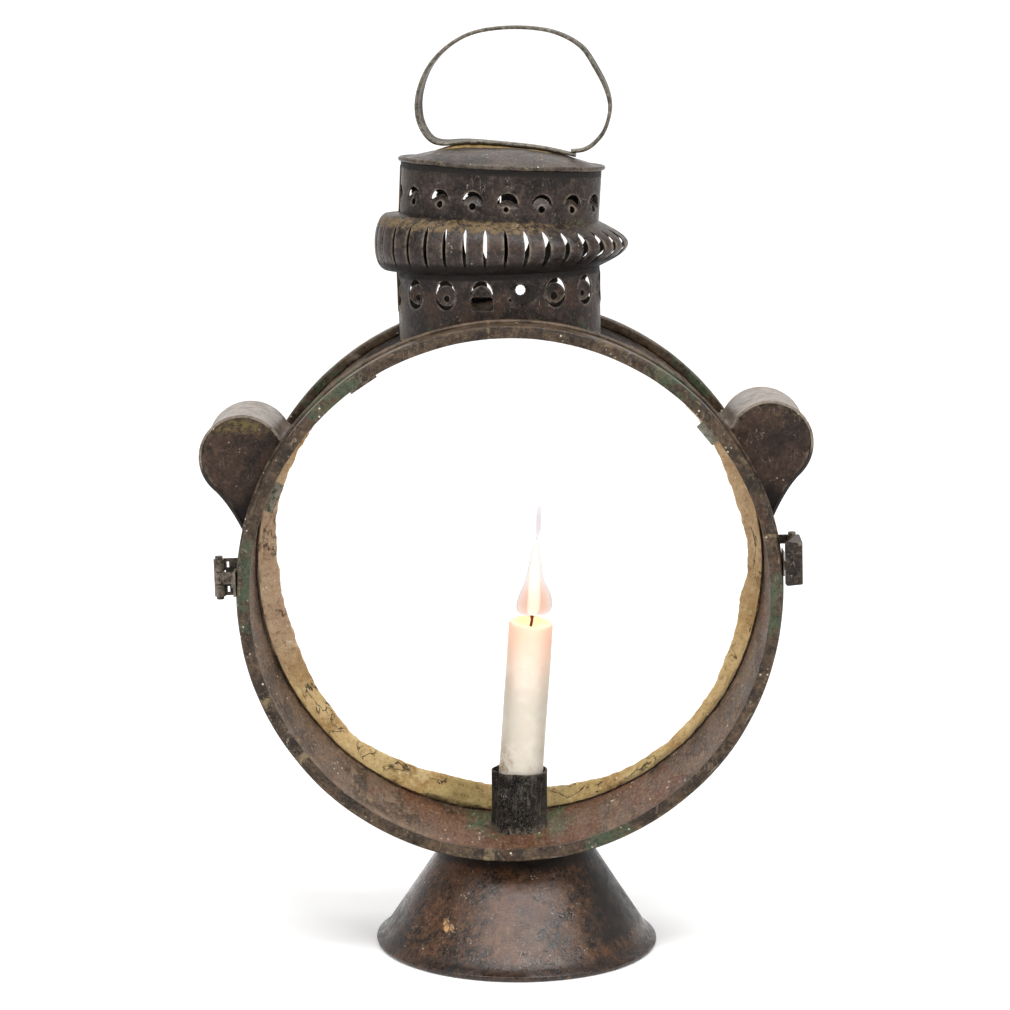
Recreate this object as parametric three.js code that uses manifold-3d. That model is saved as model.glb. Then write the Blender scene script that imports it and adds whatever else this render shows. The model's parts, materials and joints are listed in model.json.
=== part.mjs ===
// Round-bodied candle lantern of tinplate.
// +X is right, -Y is the glazed front, +Z is up. The origin is on the floor, under the middle of the overall width
// and depth. Millimetres throughout.
import * as THREE from 'three';
import { mergeVertices } from 'three/addons/utils/BufferGeometryUtils.js';
import Module from 'manifold-3d';

const wasm = await Module();
wasm.setup();

const degree = Math.PI / 180;

// ---- Driving dimensions ----
const sheet = 1; // thickness of the tinplate
const gap = 0.3; // between pieces that are soldered or puttied together
const ringSides = 72; // facets round the drum
const ovalSides = 48; // facets round the foot, chimney and cap

const footRadius = 70; // to the middle of the rolled edge
const footTaper = 0.65; // loss of radius for each millimetre of height
const footSquash = 0.21; // the cone is dressed narrower, front to back, where it meets the drum
const rollRadius = 1.7; // rolled bottom edge

const bodyLean = 1.8 * degree; // the drum and all it carries lean to the left on the foot
const leanHeight = 52; // height of the soldered joint that the body leans about
const drumHeight = 188; // the drum's centre above the floor
const drumRadius = 132; // outside of the drum band
const drumFront = -40;
const drumBack = 45.2;

const doorFront = -47;
const doorRadius = 133.6; // outside of the door's rim
const doorFlange = 6.3; // width of the ring seen from the front
const doorRimBack = -32.6; // middle of the rim's rolled back edge
const doorRollRadius = 1.3;

const backRadius = 136.9;
const backFace = 47;
const backFlange = 9.6; // how far the back ring reaches in over the pane's edge
const backRingFront = 39;
const glassThickness = 2;
const puttyInner = 121.5; // inner edge of the bead of putty inside the back pane

const chimneyX = -1.2; // the chimney stands a little left of the drum's middle
const chimneyY = 7;
const chimneyHalfWidth = 50;
const chimneyHalfDepth = 38;
const topHalfWidth = 49.4;
const galleryHalfWidth = 63.4;
const galleryShift = 1.5; // the bulge is pushed out to the right
const galleryBottom = 156.7; // heights above the drum's centre, here to chimneyTop
const galleryTop = 182.2;
const chimneyTop = 207.2;
const topTilt = 4.2 * degree; // the gallery is crushed on the right, so all above it tips that way
const ribCount = 34;
const lowerVentCount = 15;
const lowerVentHeight = 146.5;
const upperVentCount = 16;
const upperVentHeight = 191.3;
const ventRadius = 5.5;

const capHalfWidth = 51.3;
const capRise = 8;
const capRollRadius = 1.2;

const handleWidth = 9;
const handleThickness = 1.8;

const earDistance = 147.2; // from the drum's centre to the centre of the ear's round end
const earAngle = 28.1 * degree; // above the horizontal
const earRadius = 21.2;
const earTailAngle = 12.5 * degree;
const earFront = -26;
const earBack = 28;
const plateRecess = 1.6;

const knuckleRadius = 2.7;
const pinRadius = 1.2;
const hingeX = -143.5;
const hingeY = -26;
const hingeZ = 10;
const hingeLength = 18.6;
const latchX = 140.9;
const latchY = -16;
const latchZ = 12.9;
const latchLength = 22;
const latchBracketInset = 2; // the bracket and its pin are this much shorter than the hasp at each end

const socketX = 1.2;
const socketY = 6;
const socketRadius = 14.2;
const socketTop = 88;
const socketFloor = 61.5;
const candleRadius = 11.3;
const candleLength = 103;
const candleTilt = 3.5 * degree; // to the right
const wickRadius = 0.8;
const wickLength = 6;

// ---- Solids ----

// Turns a geometry into a manifold-3d solid with its faces pointing out.
function solid(geometry) {
  const bare = geometry.clone();
  bare.deleteAttribute('normal');
  bare.deleteAttribute('uv');
  const merged = mergeVertices(bare, 1e-4);
  const points = merged.attributes.position.array;
  const corners = [];
  for (let i = 0; i < merged.index.count; i += 3) {
    const [a, b, c] = [merged.index.getX(i), merged.index.getX(i + 1), merged.index.getX(i + 2)];
    if (a !== b && b !== c && c !== a) corners.push(a, b, c);
  }
  if (signedVolume(points, corners) < 0) corners.reverse();
  return new wasm.Manifold(
    new wasm.Mesh({ numProp: 3, vertProperties: new Float32Array(points), triVerts: new Uint32Array(corners) }),
  );
}

function signedVolume(points, corners) {
  const [a, b, c] = [new THREE.Vector3(), new THREE.Vector3(), new THREE.Vector3()];
  let total = 0;
  for (let i = 0; i < corners.length; i += 3) {
    a.fromArray(points, corners[i] * 3);
    b.fromArray(points, corners[i + 1] * 3);
    c.fromArray(points, corners[i + 2] * 3);
    total += a.dot(b.cross(c));
  }
  return total;
}

function geometryOf(body) {
  const mesh = body.getMesh();
  const geometry = new THREE.BufferGeometry();
  geometry.setAttribute('position', new THREE.BufferAttribute(new Float32Array(mesh.vertProperties), 3));
  geometry.setIndex(new THREE.BufferAttribute(new Uint32Array(mesh.triVerts), 1));
  geometry.computeVertexNormals();
  return geometry;
}

const join = (...bodies) => bodies.reduce((whole, body) => whole.add(body));
const cut = (body, ...tools) => tools.reduce((rest, tool) => rest.subtract(tool), body);

// A closed profile of [radius, height] points turned about the Y axis.
function turnedAboutY(profile, sides = ringSides) {
  const points = [...profile, profile[0]].map(([radius, y]) => new THREE.Vector2(radius, y));
  return solid(new THREE.LatheGeometry(points, sides));
}

// The same about the Z axis. depthRatio(z) squashes it front to back, for oval pieces.
function turnedAboutZ(profile, sides, depthRatio = () => 1) {
  const points = [...profile, profile[0]].map(([radius, z]) => new THREE.Vector2(radius, z));
  const geometry = new THREE.LatheGeometry(points, sides);
  geometry.rotateX(Math.PI / 2);
  const place = geometry.attributes.position;
  for (let i = 0; i < place.count; i += 1) place.setY(i, place.getY(i) * depthRatio(place.getZ(i)));
  return solid(geometry);
}

function disc(radius, y0, y1, sides = ringSides) {
  return turnedAboutY([[0, y0], [radius, y0], [radius, y1], [0, y1]], sides);
}

function box([x0, y0, z0], [x1, y1, z1]) {
  const geometry = new THREE.BoxGeometry(x1 - x0, y1 - y0, z1 - z0);
  geometry.translate((x0 + x1) / 2, (y0 + y1) / 2, (z0 + z1) / 2);
  return solid(geometry);
}

// An upright cylinder between two heights.
function post(radius, x, y, z0, z1, sides = 16) {
  const geometry = new THREE.CylinderGeometry(radius, radius, z1 - z0, sides);
  geometry.rotateX(Math.PI / 2);
  geometry.translate(x, y, (z0 + z1) / 2);
  return solid(geometry);
}

// A flat outline in the XZ plane, given thickness from y0 to y1.
function plate(outline, y0, y1) {
  const shape = new THREE.Shape(outline.map(([x, z]) => new THREE.Vector2(x, z)));
  const geometry = new THREE.ExtrudeGeometry(shape, { depth: y1 - y0, bevelEnabled: false });
  geometry.rotateX(Math.PI / 2);
  geometry.translate(0, y1, 0);
  return solid(geometry);
}

// Points round part of a circle, for the section of a rolled edge. Angles are in degrees.
function roll([radius, height], size, from, to, steps) {
  return Array.from({ length: steps + 1 }, (_, i) => {
    const angle = (from + ((to - from) * i) / steps) * degree;
    return [radius + size * Math.cos(angle), height + size * Math.sin(angle)];
  });
}

function polar(radius, angle) {
  return [radius * Math.cos(angle), radius * Math.sin(angle)];
}

const mirrored = (body) => body.mirror([1, 0, 0]);

// ---- Materials ----
const finish = (colour, roughness, metalness) => new THREE.MeshStandardMaterial({ color: colour, roughness, metalness });
const finishes = {
  brownTin: () => finish(0x4a3d33, 0.55, 0.5),
  footTin: () => finish(0x5b4235, 0.5, 0.5),
  chimneyTin: () => finish(0x3d332e, 0.6, 0.5),
  earTin: () => finish(0x8c7f76, 0.5, 0.6),
  greyTin: () => finish(0x6f6a60, 0.45, 0.8),
  greenTin: () => finish(0x4c5d48, 0.6, 0.4),
  brass: () => finish(0x9a7b4c, 0.4, 0.8),
  putty: () => finish(0xb79a6f, 0.9, 0),
  wax: () => finish(0xe9dfd2, 0.5, 0),
  char: () => finish(0x17130f, 0.9, 0),
  glass: () => Object.assign(finish(0xf2f6f4, 0.05, 0), { transparent: true, opacity: 0.15 }),
};

// ---- The scene graph ----
const lantern = new THREE.Group();
const body = new THREE.Group(); // all that leans with the drum, measured from the drum's centre
const rise = drumHeight - leanHeight;
body.position.set(-Math.sin(bodyLean) * rise, 0, leanHeight + Math.cos(bodyLean) * rise);
body.rotation.y = -bodyLean;
lantern.add(body);

const tipHeight = (galleryBottom + galleryTop) / 2;
const top = new THREE.Group(); // all above the gallery, measured from the middle of the chimney's top edge
top.position.set(
  chimneyX + Math.sin(topTilt) * (chimneyTop - tipHeight),
  chimneyY,
  tipHeight + Math.cos(topTilt) * (chimneyTop - tipHeight),
);
top.rotation.y = topTilt;
body.add(top);

function place(parent, name, shape, material) {
  const mesh = new THREE.Mesh(geometryOf(shape), material());
  mesh.name = name;
  parent.add(mesh);
  return mesh;
}

// ---- Foot ----
function makeFoot() {
  const coneTop = 72;
  const coneFoot = 3.8;
  const wall = (z) => footRadius + 1.2 - footTaper * z;
  const rollSize = rollRadius / Math.cos(22.5 * degree); // so that a facet of the rolled edge lies flat on the floor
  const cone = turnedAboutZ([
    ...roll([footRadius, rollRadius], rollSize, 157.5, 427.5, 6),
    [wall(coneFoot), coneFoot],
    [wall(coneTop), coneTop],
    [wall(coneTop) - 1.2 * sheet, coneTop],
    [wall(coneFoot) - 1.2 * sheet, coneFoot - 0.5],
  ], ovalSides, (z) => 1 - footSquash * (z / leanHeight));
  const drum = turnedAboutY([[0, -90], [drumRadius + gap, -90], [drumRadius + gap, 90], [0, 90]])
    .rotate([0, -bodyLean / degree, 0])
    .translate(body.position.toArray());
  place(lantern, 'foot_cone', cut(cone, drum), finishes.footTin);
}

// ---- Drum ----
function ovalPrism(halfWidth, halfDepth, x, y, z0, z1) {
  const geometry = new THREE.CylinderGeometry(1, 1, z1 - z0, 40);
  geometry.rotateX(Math.PI / 2);
  geometry.scale(halfWidth, halfDepth, 1);
  geometry.translate(x, y, (z0 + z1) / 2);
  return solid(geometry);
}

// Draught holes through the drum behind an ear, along the ear's length.
function draughtHoles() {
  const holes = [];
  for (const angle of [20, 25, 30]) {
    for (const y of [-12, 1, 14]) {
      const geometry = new THREE.CylinderGeometry(2.5, 2.5, 12, 8);
      geometry.rotateZ(Math.PI / 2);
      geometry.translate(drumRadius, y, 0);
      geometry.rotateY(-angle * degree);
      holes.push(solid(geometry));
    }
  }
  return join(...holes);
}

function makeDrum() {
  const band = turnedAboutY([
    [drumRadius - sheet, drumFront],
    [drumRadius, drumFront],
    [drumRadius, drumBack],
    [drumRadius - sheet, drumBack],
  ]);
  const mouth = ovalPrism(chimneyHalfWidth - 3, chimneyHalfDepth - 3, chimneyX, chimneyY, 100, 150);
  const holes = draughtHoles();
  place(body, 'drum_band', cut(band, mouth, holes, mirrored(holes)), finishes.brownTin);

  const flangeInner = backRadius - backFlange;
  place(body, 'back_ring', turnedAboutY([
    [drumRadius + gap, backRingFront],
    [backRadius, backRingFront],
    [backRadius, backFace],
    [flangeInner, backFace],
    [flangeInner, backFace - sheet],
    [drumRadius + gap, backFace - sheet],
  ]), finishes.brownTin);

  const paneBack = backFace - sheet - gap;
  place(body, 'back_glass', disc(drumRadius - sheet - 0.5, paneBack - glassThickness, paneBack), finishes.glass);
  const paneFront = paneBack - glassThickness - gap;
  place(body, 'back_putty', turnedAboutY([
    [drumRadius - sheet - gap, paneFront - 6.5],
    [drumRadius - sheet - gap, paneFront],
    [puttyInner, paneFront],
    [puttyInner, paneFront - 1],
  ]), finishes.putty);
}

// ---- Chimney ----

// Angles that share an oval's outline out evenly. Angle 0 faces the front, and the first lies `start` mm to its right.
function evenAngles(count, halfWidth, halfDepth, start) {
  const steps = 2000;
  const lengths = [0];
  for (let i = 1; i <= steps; i += 1) {
    const angle = ((i - 0.5) / steps) * 2 * Math.PI;
    const slope = Math.hypot(halfWidth * Math.cos(angle), halfDepth * Math.sin(angle));
    lengths.push(lengths[i - 1] + slope * (2 * Math.PI / steps));
  }
  const perimeter = lengths[steps];
  return Array.from({ length: count }, (_, i) => {
    const wanted = (start + (i * perimeter) / count + perimeter) % perimeter;
    return (lengths.findIndex((length) => length >= wanted) / steps) * 2 * Math.PI;
  });
}

// Tools that point out through the chimney's wall at the given angles. make(width) returns the tool at the front.
function roundTheChimney(angles, halfWidth, halfDepth, make) {
  return angles.map((angle) => {
    const heading = Math.atan2(halfDepth * Math.sin(angle), halfWidth * Math.cos(angle));
    const x = chimneyX + halfWidth * Math.sin(angle);
    const y = chimneyY - halfDepth * Math.cos(angle);
    return make(angle).rotate([0, 0, heading / degree]).translate([x, y, 0]);
  });
}

function ventTool(halfHeight, z) {
  const geometry = new THREE.CylinderGeometry(ventRadius, ventRadius, 16, 8);
  geometry.scale(1, 1, halfHeight / ventRadius);
  geometry.translate(0, 0, z);
  return solid(geometry);
}

// Tips what lies above the gallery to the right, and shears the gallery to suit.
function tipTop(points) {
  for (let i = 0; i < points.length; i += 3) {
    const share = Math.min(1, Math.max(0, (points[i + 2] - galleryBottom) / (galleryTop - galleryBottom)));
    const angle = topTilt * share;
    const x = points[i] - chimneyX;
    const z = points[i + 2] - tipHeight;
    points[i] = chimneyX + x * Math.cos(angle) + z * Math.sin(angle) + galleryShift * Math.sin(Math.PI * share);
    points[i + 2] = tipHeight - x * Math.sin(angle) + z * Math.cos(angle);
  }
}

function makeChimney() {
  const bulgeSteps = 4;
  const outer = [[chimneyHalfWidth, 90], [chimneyHalfWidth, galleryBottom]];
  for (let i = 1; i < bulgeSteps; i += 1) {
    const share = i / bulgeSteps;
    const width = chimneyHalfWidth + (topHalfWidth - chimneyHalfWidth) * share;
    const bulge = (galleryHalfWidth - chimneyHalfWidth) * Math.pow(Math.sin(Math.PI * share), 0.7);
    outer.push([width + bulge, galleryBottom + (galleryTop - galleryBottom) * share]);
  }
  outer.push([topHalfWidth, galleryTop], [topHalfWidth, chimneyTop]);
  const inner = outer.map(([radius, z]) => [radius - sheet, z]).reverse();
  const depthRatio = chimneyHalfDepth / chimneyHalfWidth;
  const wall = turnedAboutZ([...outer, ...inner], ovalSides, () => depthRatio).translate([chimneyX, chimneyY, 0]);

  const slitAngles = evenAngles(ribCount, galleryHalfWidth, galleryHalfWidth * depthRatio, 2);
  const slits = roundTheChimney(slitAngles, galleryHalfWidth, galleryHalfWidth * depthRatio, (angle) => {
    const half = 0.5 + 0.5 * Math.max(0, Math.sin(angle)); // the crushed right side has opened its slits
    return box([-half, -12, galleryBottom + 2.5], [half, 12, galleryTop - 2.5]);
  });
  const lowerAngles = evenAngles(lowerVentCount, chimneyHalfWidth, chimneyHalfDepth, -8.5);
  const lowerVents = roundTheChimney(lowerAngles, chimneyHalfWidth, chimneyHalfDepth,
    () => ventTool(8, lowerVentHeight));
  const upperAngles = evenAngles(upperVentCount, topHalfWidth, topHalfWidth * depthRatio, 3.7);
  const upperVents = roundTheChimney(upperAngles, topHalfWidth, topHalfWidth * depthRatio,
    () => ventTool(ventRadius, upperVentHeight));
  const drum = disc(drumRadius + gap, -90, 90);
  const backRing = disc(backRadius + gap, backRingFront - gap, 90);
  const mesh = place(body, 'chimney', cut(wall, drum, backRing, ...slits, ...lowerVents, ...upperVents), finishes.chimneyTin);
  tipTop(mesh.geometry.attributes.position.array);
}

// ---- Cap and handle, measured from the middle of the chimney's top edge ----
const capDepthRatio = () => (chimneyHalfDepth + 2) / capHalfWidth;

function capHeight(share) {
  return capRise * (1 - Math.pow(share, 2.2));
}

function makeCap() {
  const edge = capHalfWidth - capRollRadius;
  const dome = [0, 0.25, 0.5, 0.75, 0.95].map((share) => [edge * share, gap + sheet + capHeight(share)]);
  const under = dome.map(([radius, z]) => [radius, z - sheet]).reverse();
  const edgeRoll = roll([edge, gap + capRollRadius], capRollRadius, 120, -180, 6);
  place(top, 'cap', turnedAboutZ([...dome, ...edgeRoll, ...under], ovalSides, capDepthRatio), finishes.chimneyTin);
}

function makeHandle() {
  const route = [
    [33, 7.6], [18, 10], [-2, 11.2], [-17, 11.4], [-30, 10.2],
    [-36.5, 13], [-41.3, 21.5], [-42, 33], [-38, 46], [-30, 56.3], [-18.5, 63.8], [-4, 67.3], [12, 68],
    [25, 66], [36.5, 60.2], [44, 50.6], [50, 40], [52.2, 30.5], [50, 20], [44.5, 13.5], [38, 11.2], [29, 11],
  ].map(([x, z]) => new THREE.Vector3(x, 0, z));
  const curve = new THREE.CatmullRomCurve3(route, false, 'centripetal');
  const samples = curve.getSpacedPoints(80);
  const left = [];
  const right = [];
  samples.forEach((point, i) => {
    const before = samples[Math.max(0, i - 1)];
    const after = samples[Math.min(samples.length - 1, i + 1)];
    const along = after.clone().sub(before).normalize();
    left.push([point.x - along.z * handleThickness / 2, point.z + along.x * handleThickness / 2]);
    right.push([point.x + along.z * handleThickness / 2, point.z - along.x * handleThickness / 2]);
  });
  place(top, 'handle_loop', plate([...left, ...right.reverse()], -handleWidth / 2, handleWidth / 2),
    finishes.greyTin);
}

// ---- Ear boxes ----

// The ear's outline in the XZ plane, drawn in by `inset`, and closed inside the drum.
function earOutline(inset) {
  const [centreX, centreZ] = polar(earDistance, earAngle);
  const radius = earRadius - inset;
  const points = [polar(drumRadius - 14, earAngle + 8 * degree)];
  const arcStart = earAngle + 125 * degree;
  const arcEnd = earAngle - 78 * degree;
  for (let i = 0; i <= 20; i += 1) {
    const angle = arcStart + (arcEnd - arcStart) * (i / 20);
    points.push([centreX + radius * Math.cos(angle), centreZ + radius * Math.sin(angle)]);
  }
  const [startX, startZ] = points[points.length - 1];
  const [endX, endZ] = polar(drumRadius - inset, earTailAngle);
  const [pullX, pullZ] = polar(drumRadius + 9.5 - inset, earTailAngle + 5.5 * degree);
  const tail = new THREE.QuadraticBezierCurve(
    new THREE.Vector2(startX, startZ), new THREE.Vector2(pullX, pullZ), new THREE.Vector2(endX, endZ));
  for (const point of tail.getPoints(8).slice(1)) points.push([point.x, point.y]);
  points.push(polar(drumRadius - 14, earTailAngle));
  return points;
}

function makeEar(side, flip) {
  const drum = disc(drumRadius + gap, -90, 90);
  const hollow = plate(earOutline(sheet), earFront - 5, earBack + 5);
  const wall = cut(plate(earOutline(0), earFront, earBack), hollow, drum);
  const front = earFront + plateRecess;
  const back = earBack - plateRecess - sheet;
  const inside = sheet + gap;
  const frontPlate = cut(plate(earOutline(inside), front, front + sheet), drum);
  const inlets = [];
  const [centreX, centreZ] = polar(earDistance, earAngle);
  for (let i = 0; i < 6; i += 1) {
    const [x, z] = polar(i === 0 ? 0 : 8, i * 72 * degree);
    inlets.push(disc(2, back - 5, back + 5, 8).translate([centreX + x, 0, centreZ + z]));
  }
  const backPlate = cut(plate(earOutline(inside), back, back + sheet), drum, ...inlets);
  place(body, `ear_${side}_wall`, flip(wall), finishes.earTin);
  place(body, `ear_${side}_front_plate`, flip(frontPlate), finishes.footTin);
  place(body, `ear_${side}_back_plate`, flip(backPlate), finishes.footTin);
}

// ---- Door ----
function makeDoor() {
  const rollCentre = [doorRadius - sheet + doorRollRadius, doorRimBack];
  place(body, 'door_frame', turnedAboutY([
    [doorRadius - doorFlange, doorFront],
    [doorRadius, doorFront],
    ...roll(rollCentre, doorRollRadius, -100, 180, 6),
    [doorRadius - sheet, doorFront + sheet],
    [doorRadius - doorFlange, doorFront + sheet],
  ]), finishes.brownTin);

  const paneFront = doorFront + sheet + gap;
  const paneBack = paneFront + glassThickness;
  place(body, 'front_glass', disc(doorRadius - sheet - 0.7, paneFront, paneBack), finishes.glass);

  // Each clip is a tab soldered inside the rim and turned in behind the glass: [angle, length, reach past the flange].
  const clips = [[38.5, 12, 4], [122.6, 15, 1.5], [155.3, 15, 4.5], [231, 12, -1], [309, 12, -1]];
  clips.forEach(([angle, length, reach], i) => {
    const rootRadius = doorRadius - sheet - 0.5;
    const tip = doorRadius - doorFlange - reach;
    const tongueFront = paneBack + gap;
    const tab = box([tip, tongueFront, -length / 2], [rootRadius, tongueFront + 0.8, length / 2]);
    const root = box([rootRadius - 0.8, tongueFront, -length / 2], [rootRadius, drumFront - 0.5, length / 2]);
    place(body, `glass_clip_${i + 1}`, join(tab, root).rotate([0, -angle, 0]), finishes.greenTin);
  });
}

// ---- Hinge at the left ----
function makeHinge() {
  const low = hingeZ - hingeLength / 2;
  const high = hingeZ + hingeLength / 2;
  const knuckle = hingeLength / 3;
  const bore = post(pinRadius + gap, hingeX, hingeY, low - 9, high + 9);
  const webInner = -(drumRadius + 1);
  const bodyPieces = [
    box([-(drumRadius + 1.7), hingeY - 1.5, low], [-(drumRadius + 0.4), hingeY + 12, high]),
    box([hingeX + knuckleRadius + gap, hingeY + 1.3, low + knuckle / 2], [webInner, hingeY + 2.5, high - knuckle / 2]),
  ];
  for (const z of [low, high - knuckle + gap]) {
    const end = z + knuckle - gap;
    const web = box([hingeX + 1.5, hingeY + 1.3, z], [webInner, hingeY + 2.5, end]);
    bodyPieces.push(post(knuckleRadius, hingeX, hingeY, z, end), web);
  }
  const windows = [low + 1.6, high - 4.6].map((z) => box(
    [hingeX + 3.6, hingeY, z],
    [hingeX + 4.8, hingeY + 4, z + 3],
  ));
  place(body, 'hinge_drum_leaf', cut(join(...bodyPieces), bore, ...windows), finishes.greyTin);

  const [z0, z1] = [low + knuckle + gap / 2, high - knuckle - gap / 2];
  const rimSide = -(doorRadius + gap);
  const clearOfRoll = -(doorRadius + 0.4 + doorRollRadius + 0.5);
  const leaf = join(
    box([rimSide - sheet - 0.3, doorFront + sheet, z0 - 3], [rimSide, doorRimBack - 2.5, z1 + 3]),
    box([clearOfRoll - sheet, doorRimBack - 5, z0], [rimSide - 0.6, doorRimBack - 2.5, z1]),
    box([clearOfRoll - sheet, doorRimBack - 5, z0], [clearOfRoll, hingeY - 1.4, z1]),
    box([hingeX + 1.5, hingeY - 2.6, z0], [clearOfRoll, hingeY - 1.4, z1]),
    post(knuckleRadius, hingeX, hingeY, z0, z1),
  );
  place(body, 'hinge_door_leaf', cut(leaf, bore), finishes.greyTin);

  const pin = join(
    post(pinRadius, hingeX, hingeY, low - 1, high + 1, 12),
    post(1.9, hingeX, hingeY, high + gap, high + 1.5, 12),
    post(1.9, hingeX, hingeY, low - 1.5, low - gap, 12),
  );
  place(body, 'hinge_pin', pin, finishes.greyTin);
}

// ---- Latch at the right ----
function makeLatch() {
  const low = latchZ - latchLength / 2 + latchBracketInset;
  const high = latchZ + latchLength / 2 - latchBracketInset;
  const knuckle = 4.5;
  const bore = post(pinRadius + gap, latchX, latchY, low - 9, high + 9);
  const bracket = [box([drumRadius + 0.4, latchY - 10, low], [drumRadius + 1.7, latchY + 5, high])];
  for (const z of [low, high - knuckle]) {
    bracket.push(
      post(knuckleRadius - gap, latchX, latchY, z, z + knuckle),
      box([drumRadius + 1, latchY + 0.6, z], [latchX - 1.4, latchY + 1.8, z + knuckle]),
    );
  }
  place(body, 'latch_bracket', cut(join(...bracket), bore), finishes.greyTin);

  const pin = join(
    post(pinRadius, latchX, latchY, low - 1, high + 1, 12),
    post(1.9, latchX, latchY, high + gap, high + 1.5, 12),
    post(1.9, latchX, latchY, low - 1.5, low - gap, 12),
  );
  place(body, 'latch_pin', pin, finishes.greyTin);

  const armOut = latchX + knuckleRadius;
  const armFront = doorFront + 1.5;
  const haspLow = latchZ - latchLength / 2;
  const haspHigh = latchZ + latchLength / 2;
  const hasp = join(
    post(knuckleRadius, latchX, latchY, low + knuckle + gap, high - knuckle - gap),
    box([armOut - 1.2, latchY - 8, low + knuckle + gap], [armOut, latchY, high - knuckle - gap]),
    box([armOut - 1.2, armFront, haspLow], [armOut, latchY - 4, haspHigh]),
    box([doorRadius + 1.2, armFront, haspLow], [armOut, armFront + 1.2, haspHigh]),
  );
  place(body, 'latch_hasp', cut(hasp, bore), finishes.footTin);

  const strike = box([doorRadius + gap, doorFront + sheet, latchZ - 6], [doorRadius + 0.9, doorRimBack - 2.5, latchZ + 6]);
  place(body, 'latch_strike', strike, finishes.greyTin);
}

// ---- Candle and its socket, upright whatever the body's lean ----
function makeCandle() {
  const drumInside = disc(drumRadius - sheet - gap, -60, 60)
    .rotate([0, -bodyLean / degree, 0])
    .translate(body.position.toArray());
  const tube = cut(post(socketRadius, socketX, socketY, 45, socketTop, 32),
    post(socketRadius - sheet, socketX, socketY, socketFloor, socketTop + 5, 32));
  place(lantern, 'candle_socket', tube.intersect(drumInside), finishes.greyTin);

  const candle = new THREE.Group(); // measured from the middle of the candle's foot, along its own tilted axis
  candle.position.set(
    socketX - Math.sin(candleTilt) * (socketTop - socketFloor) / 2,
    socketY,
    socketFloor + gap + Math.sin(candleTilt) * candleRadius,
  );
  candle.rotation.y = candleTilt;
  lantern.add(candle);
  const wax = turnedAboutZ([
    [0, 0],
    [candleRadius, 0],
    [candleRadius, candleLength - 1.5],
    [candleRadius - 1.5, candleLength],
    [4, candleLength - 2],
    [0, candleLength - 2.5],
  ], 32);
  place(candle, 'candle', wax, finishes.wax);
  place(candle, 'wick', post(wickRadius, 0, 0, candleLength - 2.1, candleLength - 2.1 + wickLength, 10), finishes.char);
}

makeFoot();
makeDrum();
makeChimney();
makeCap();
makeHandle();
makeEar('right', (shape) => shape);
makeEar('left', mirrored);
makeDoor();
makeHinge();
makeLatch();
makeCandle();

// The foot and the leaning body are moved sideways together until the overall width is centred on the origin.
lantern.updateMatrixWorld(true);
const bounds = new THREE.Box3().setFromObject(lantern, true);
lantern.position.x = -(bounds.min.x + bounds.max.x) / 2;

export default lantern;
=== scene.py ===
"""Candle lantern of japanned tinplate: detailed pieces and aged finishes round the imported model."""
import json
import random
from math import acos, atan2, cos, dist, exp, floor, hypot, pi, sin, sqrt

import bpy
import numpy as np
from mathutils import Matrix, Vector, geometry, kdtree, noise


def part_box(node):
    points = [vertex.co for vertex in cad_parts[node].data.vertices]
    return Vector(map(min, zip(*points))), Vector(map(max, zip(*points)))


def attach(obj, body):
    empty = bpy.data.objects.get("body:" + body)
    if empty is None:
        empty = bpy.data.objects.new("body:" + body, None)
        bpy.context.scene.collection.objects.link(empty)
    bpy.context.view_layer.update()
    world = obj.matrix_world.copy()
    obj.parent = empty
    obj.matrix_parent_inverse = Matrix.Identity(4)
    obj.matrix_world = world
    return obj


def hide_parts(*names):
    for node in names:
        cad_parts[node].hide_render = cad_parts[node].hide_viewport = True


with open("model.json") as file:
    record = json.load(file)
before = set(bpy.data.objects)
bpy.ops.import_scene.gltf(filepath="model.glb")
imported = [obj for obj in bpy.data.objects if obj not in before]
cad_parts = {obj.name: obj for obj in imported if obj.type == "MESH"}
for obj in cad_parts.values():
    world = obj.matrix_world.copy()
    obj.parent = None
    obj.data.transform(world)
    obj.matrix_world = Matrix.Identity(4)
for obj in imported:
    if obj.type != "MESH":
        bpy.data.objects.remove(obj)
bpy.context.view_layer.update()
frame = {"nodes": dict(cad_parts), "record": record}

# ---- Driving dimensions, in millimetres unless they say otherwise ----
METRES = 0.001
DEGREE = pi / 180

SHEET, FOOT_SHEET, CHIMNEY_SHEET, HASP_SHEET = 1.0, 1.1, 0.8, 1.2
GAP = 0.3  # kept between pieces that would share a face
DRUM_RADIUS = 132.0
DRUM_FRONT, DRUM_BACK = -40.0, 45.2
DOOR_RADIUS, DOOR_FRONT, DOOR_FLANGE = 133.6, -47.0, 6.3
RIM_BACK, RIM_ROLL = -32.6, 1.3
BACK_RADIUS, BACK_FACE, BACK_FRONT, BACK_FLANGE = 136.9, 47.0, 39.0, 9.4
GLASS_BACK = 43.4  # the inner face of the back pane

FOOT_RADIUS, FOOT_TAPER, FOOT_SQUASH, FOOT_ROLL, LEAN_HEIGHT = 70.0, 0.65, 0.21, 1.7, 52.0

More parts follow.
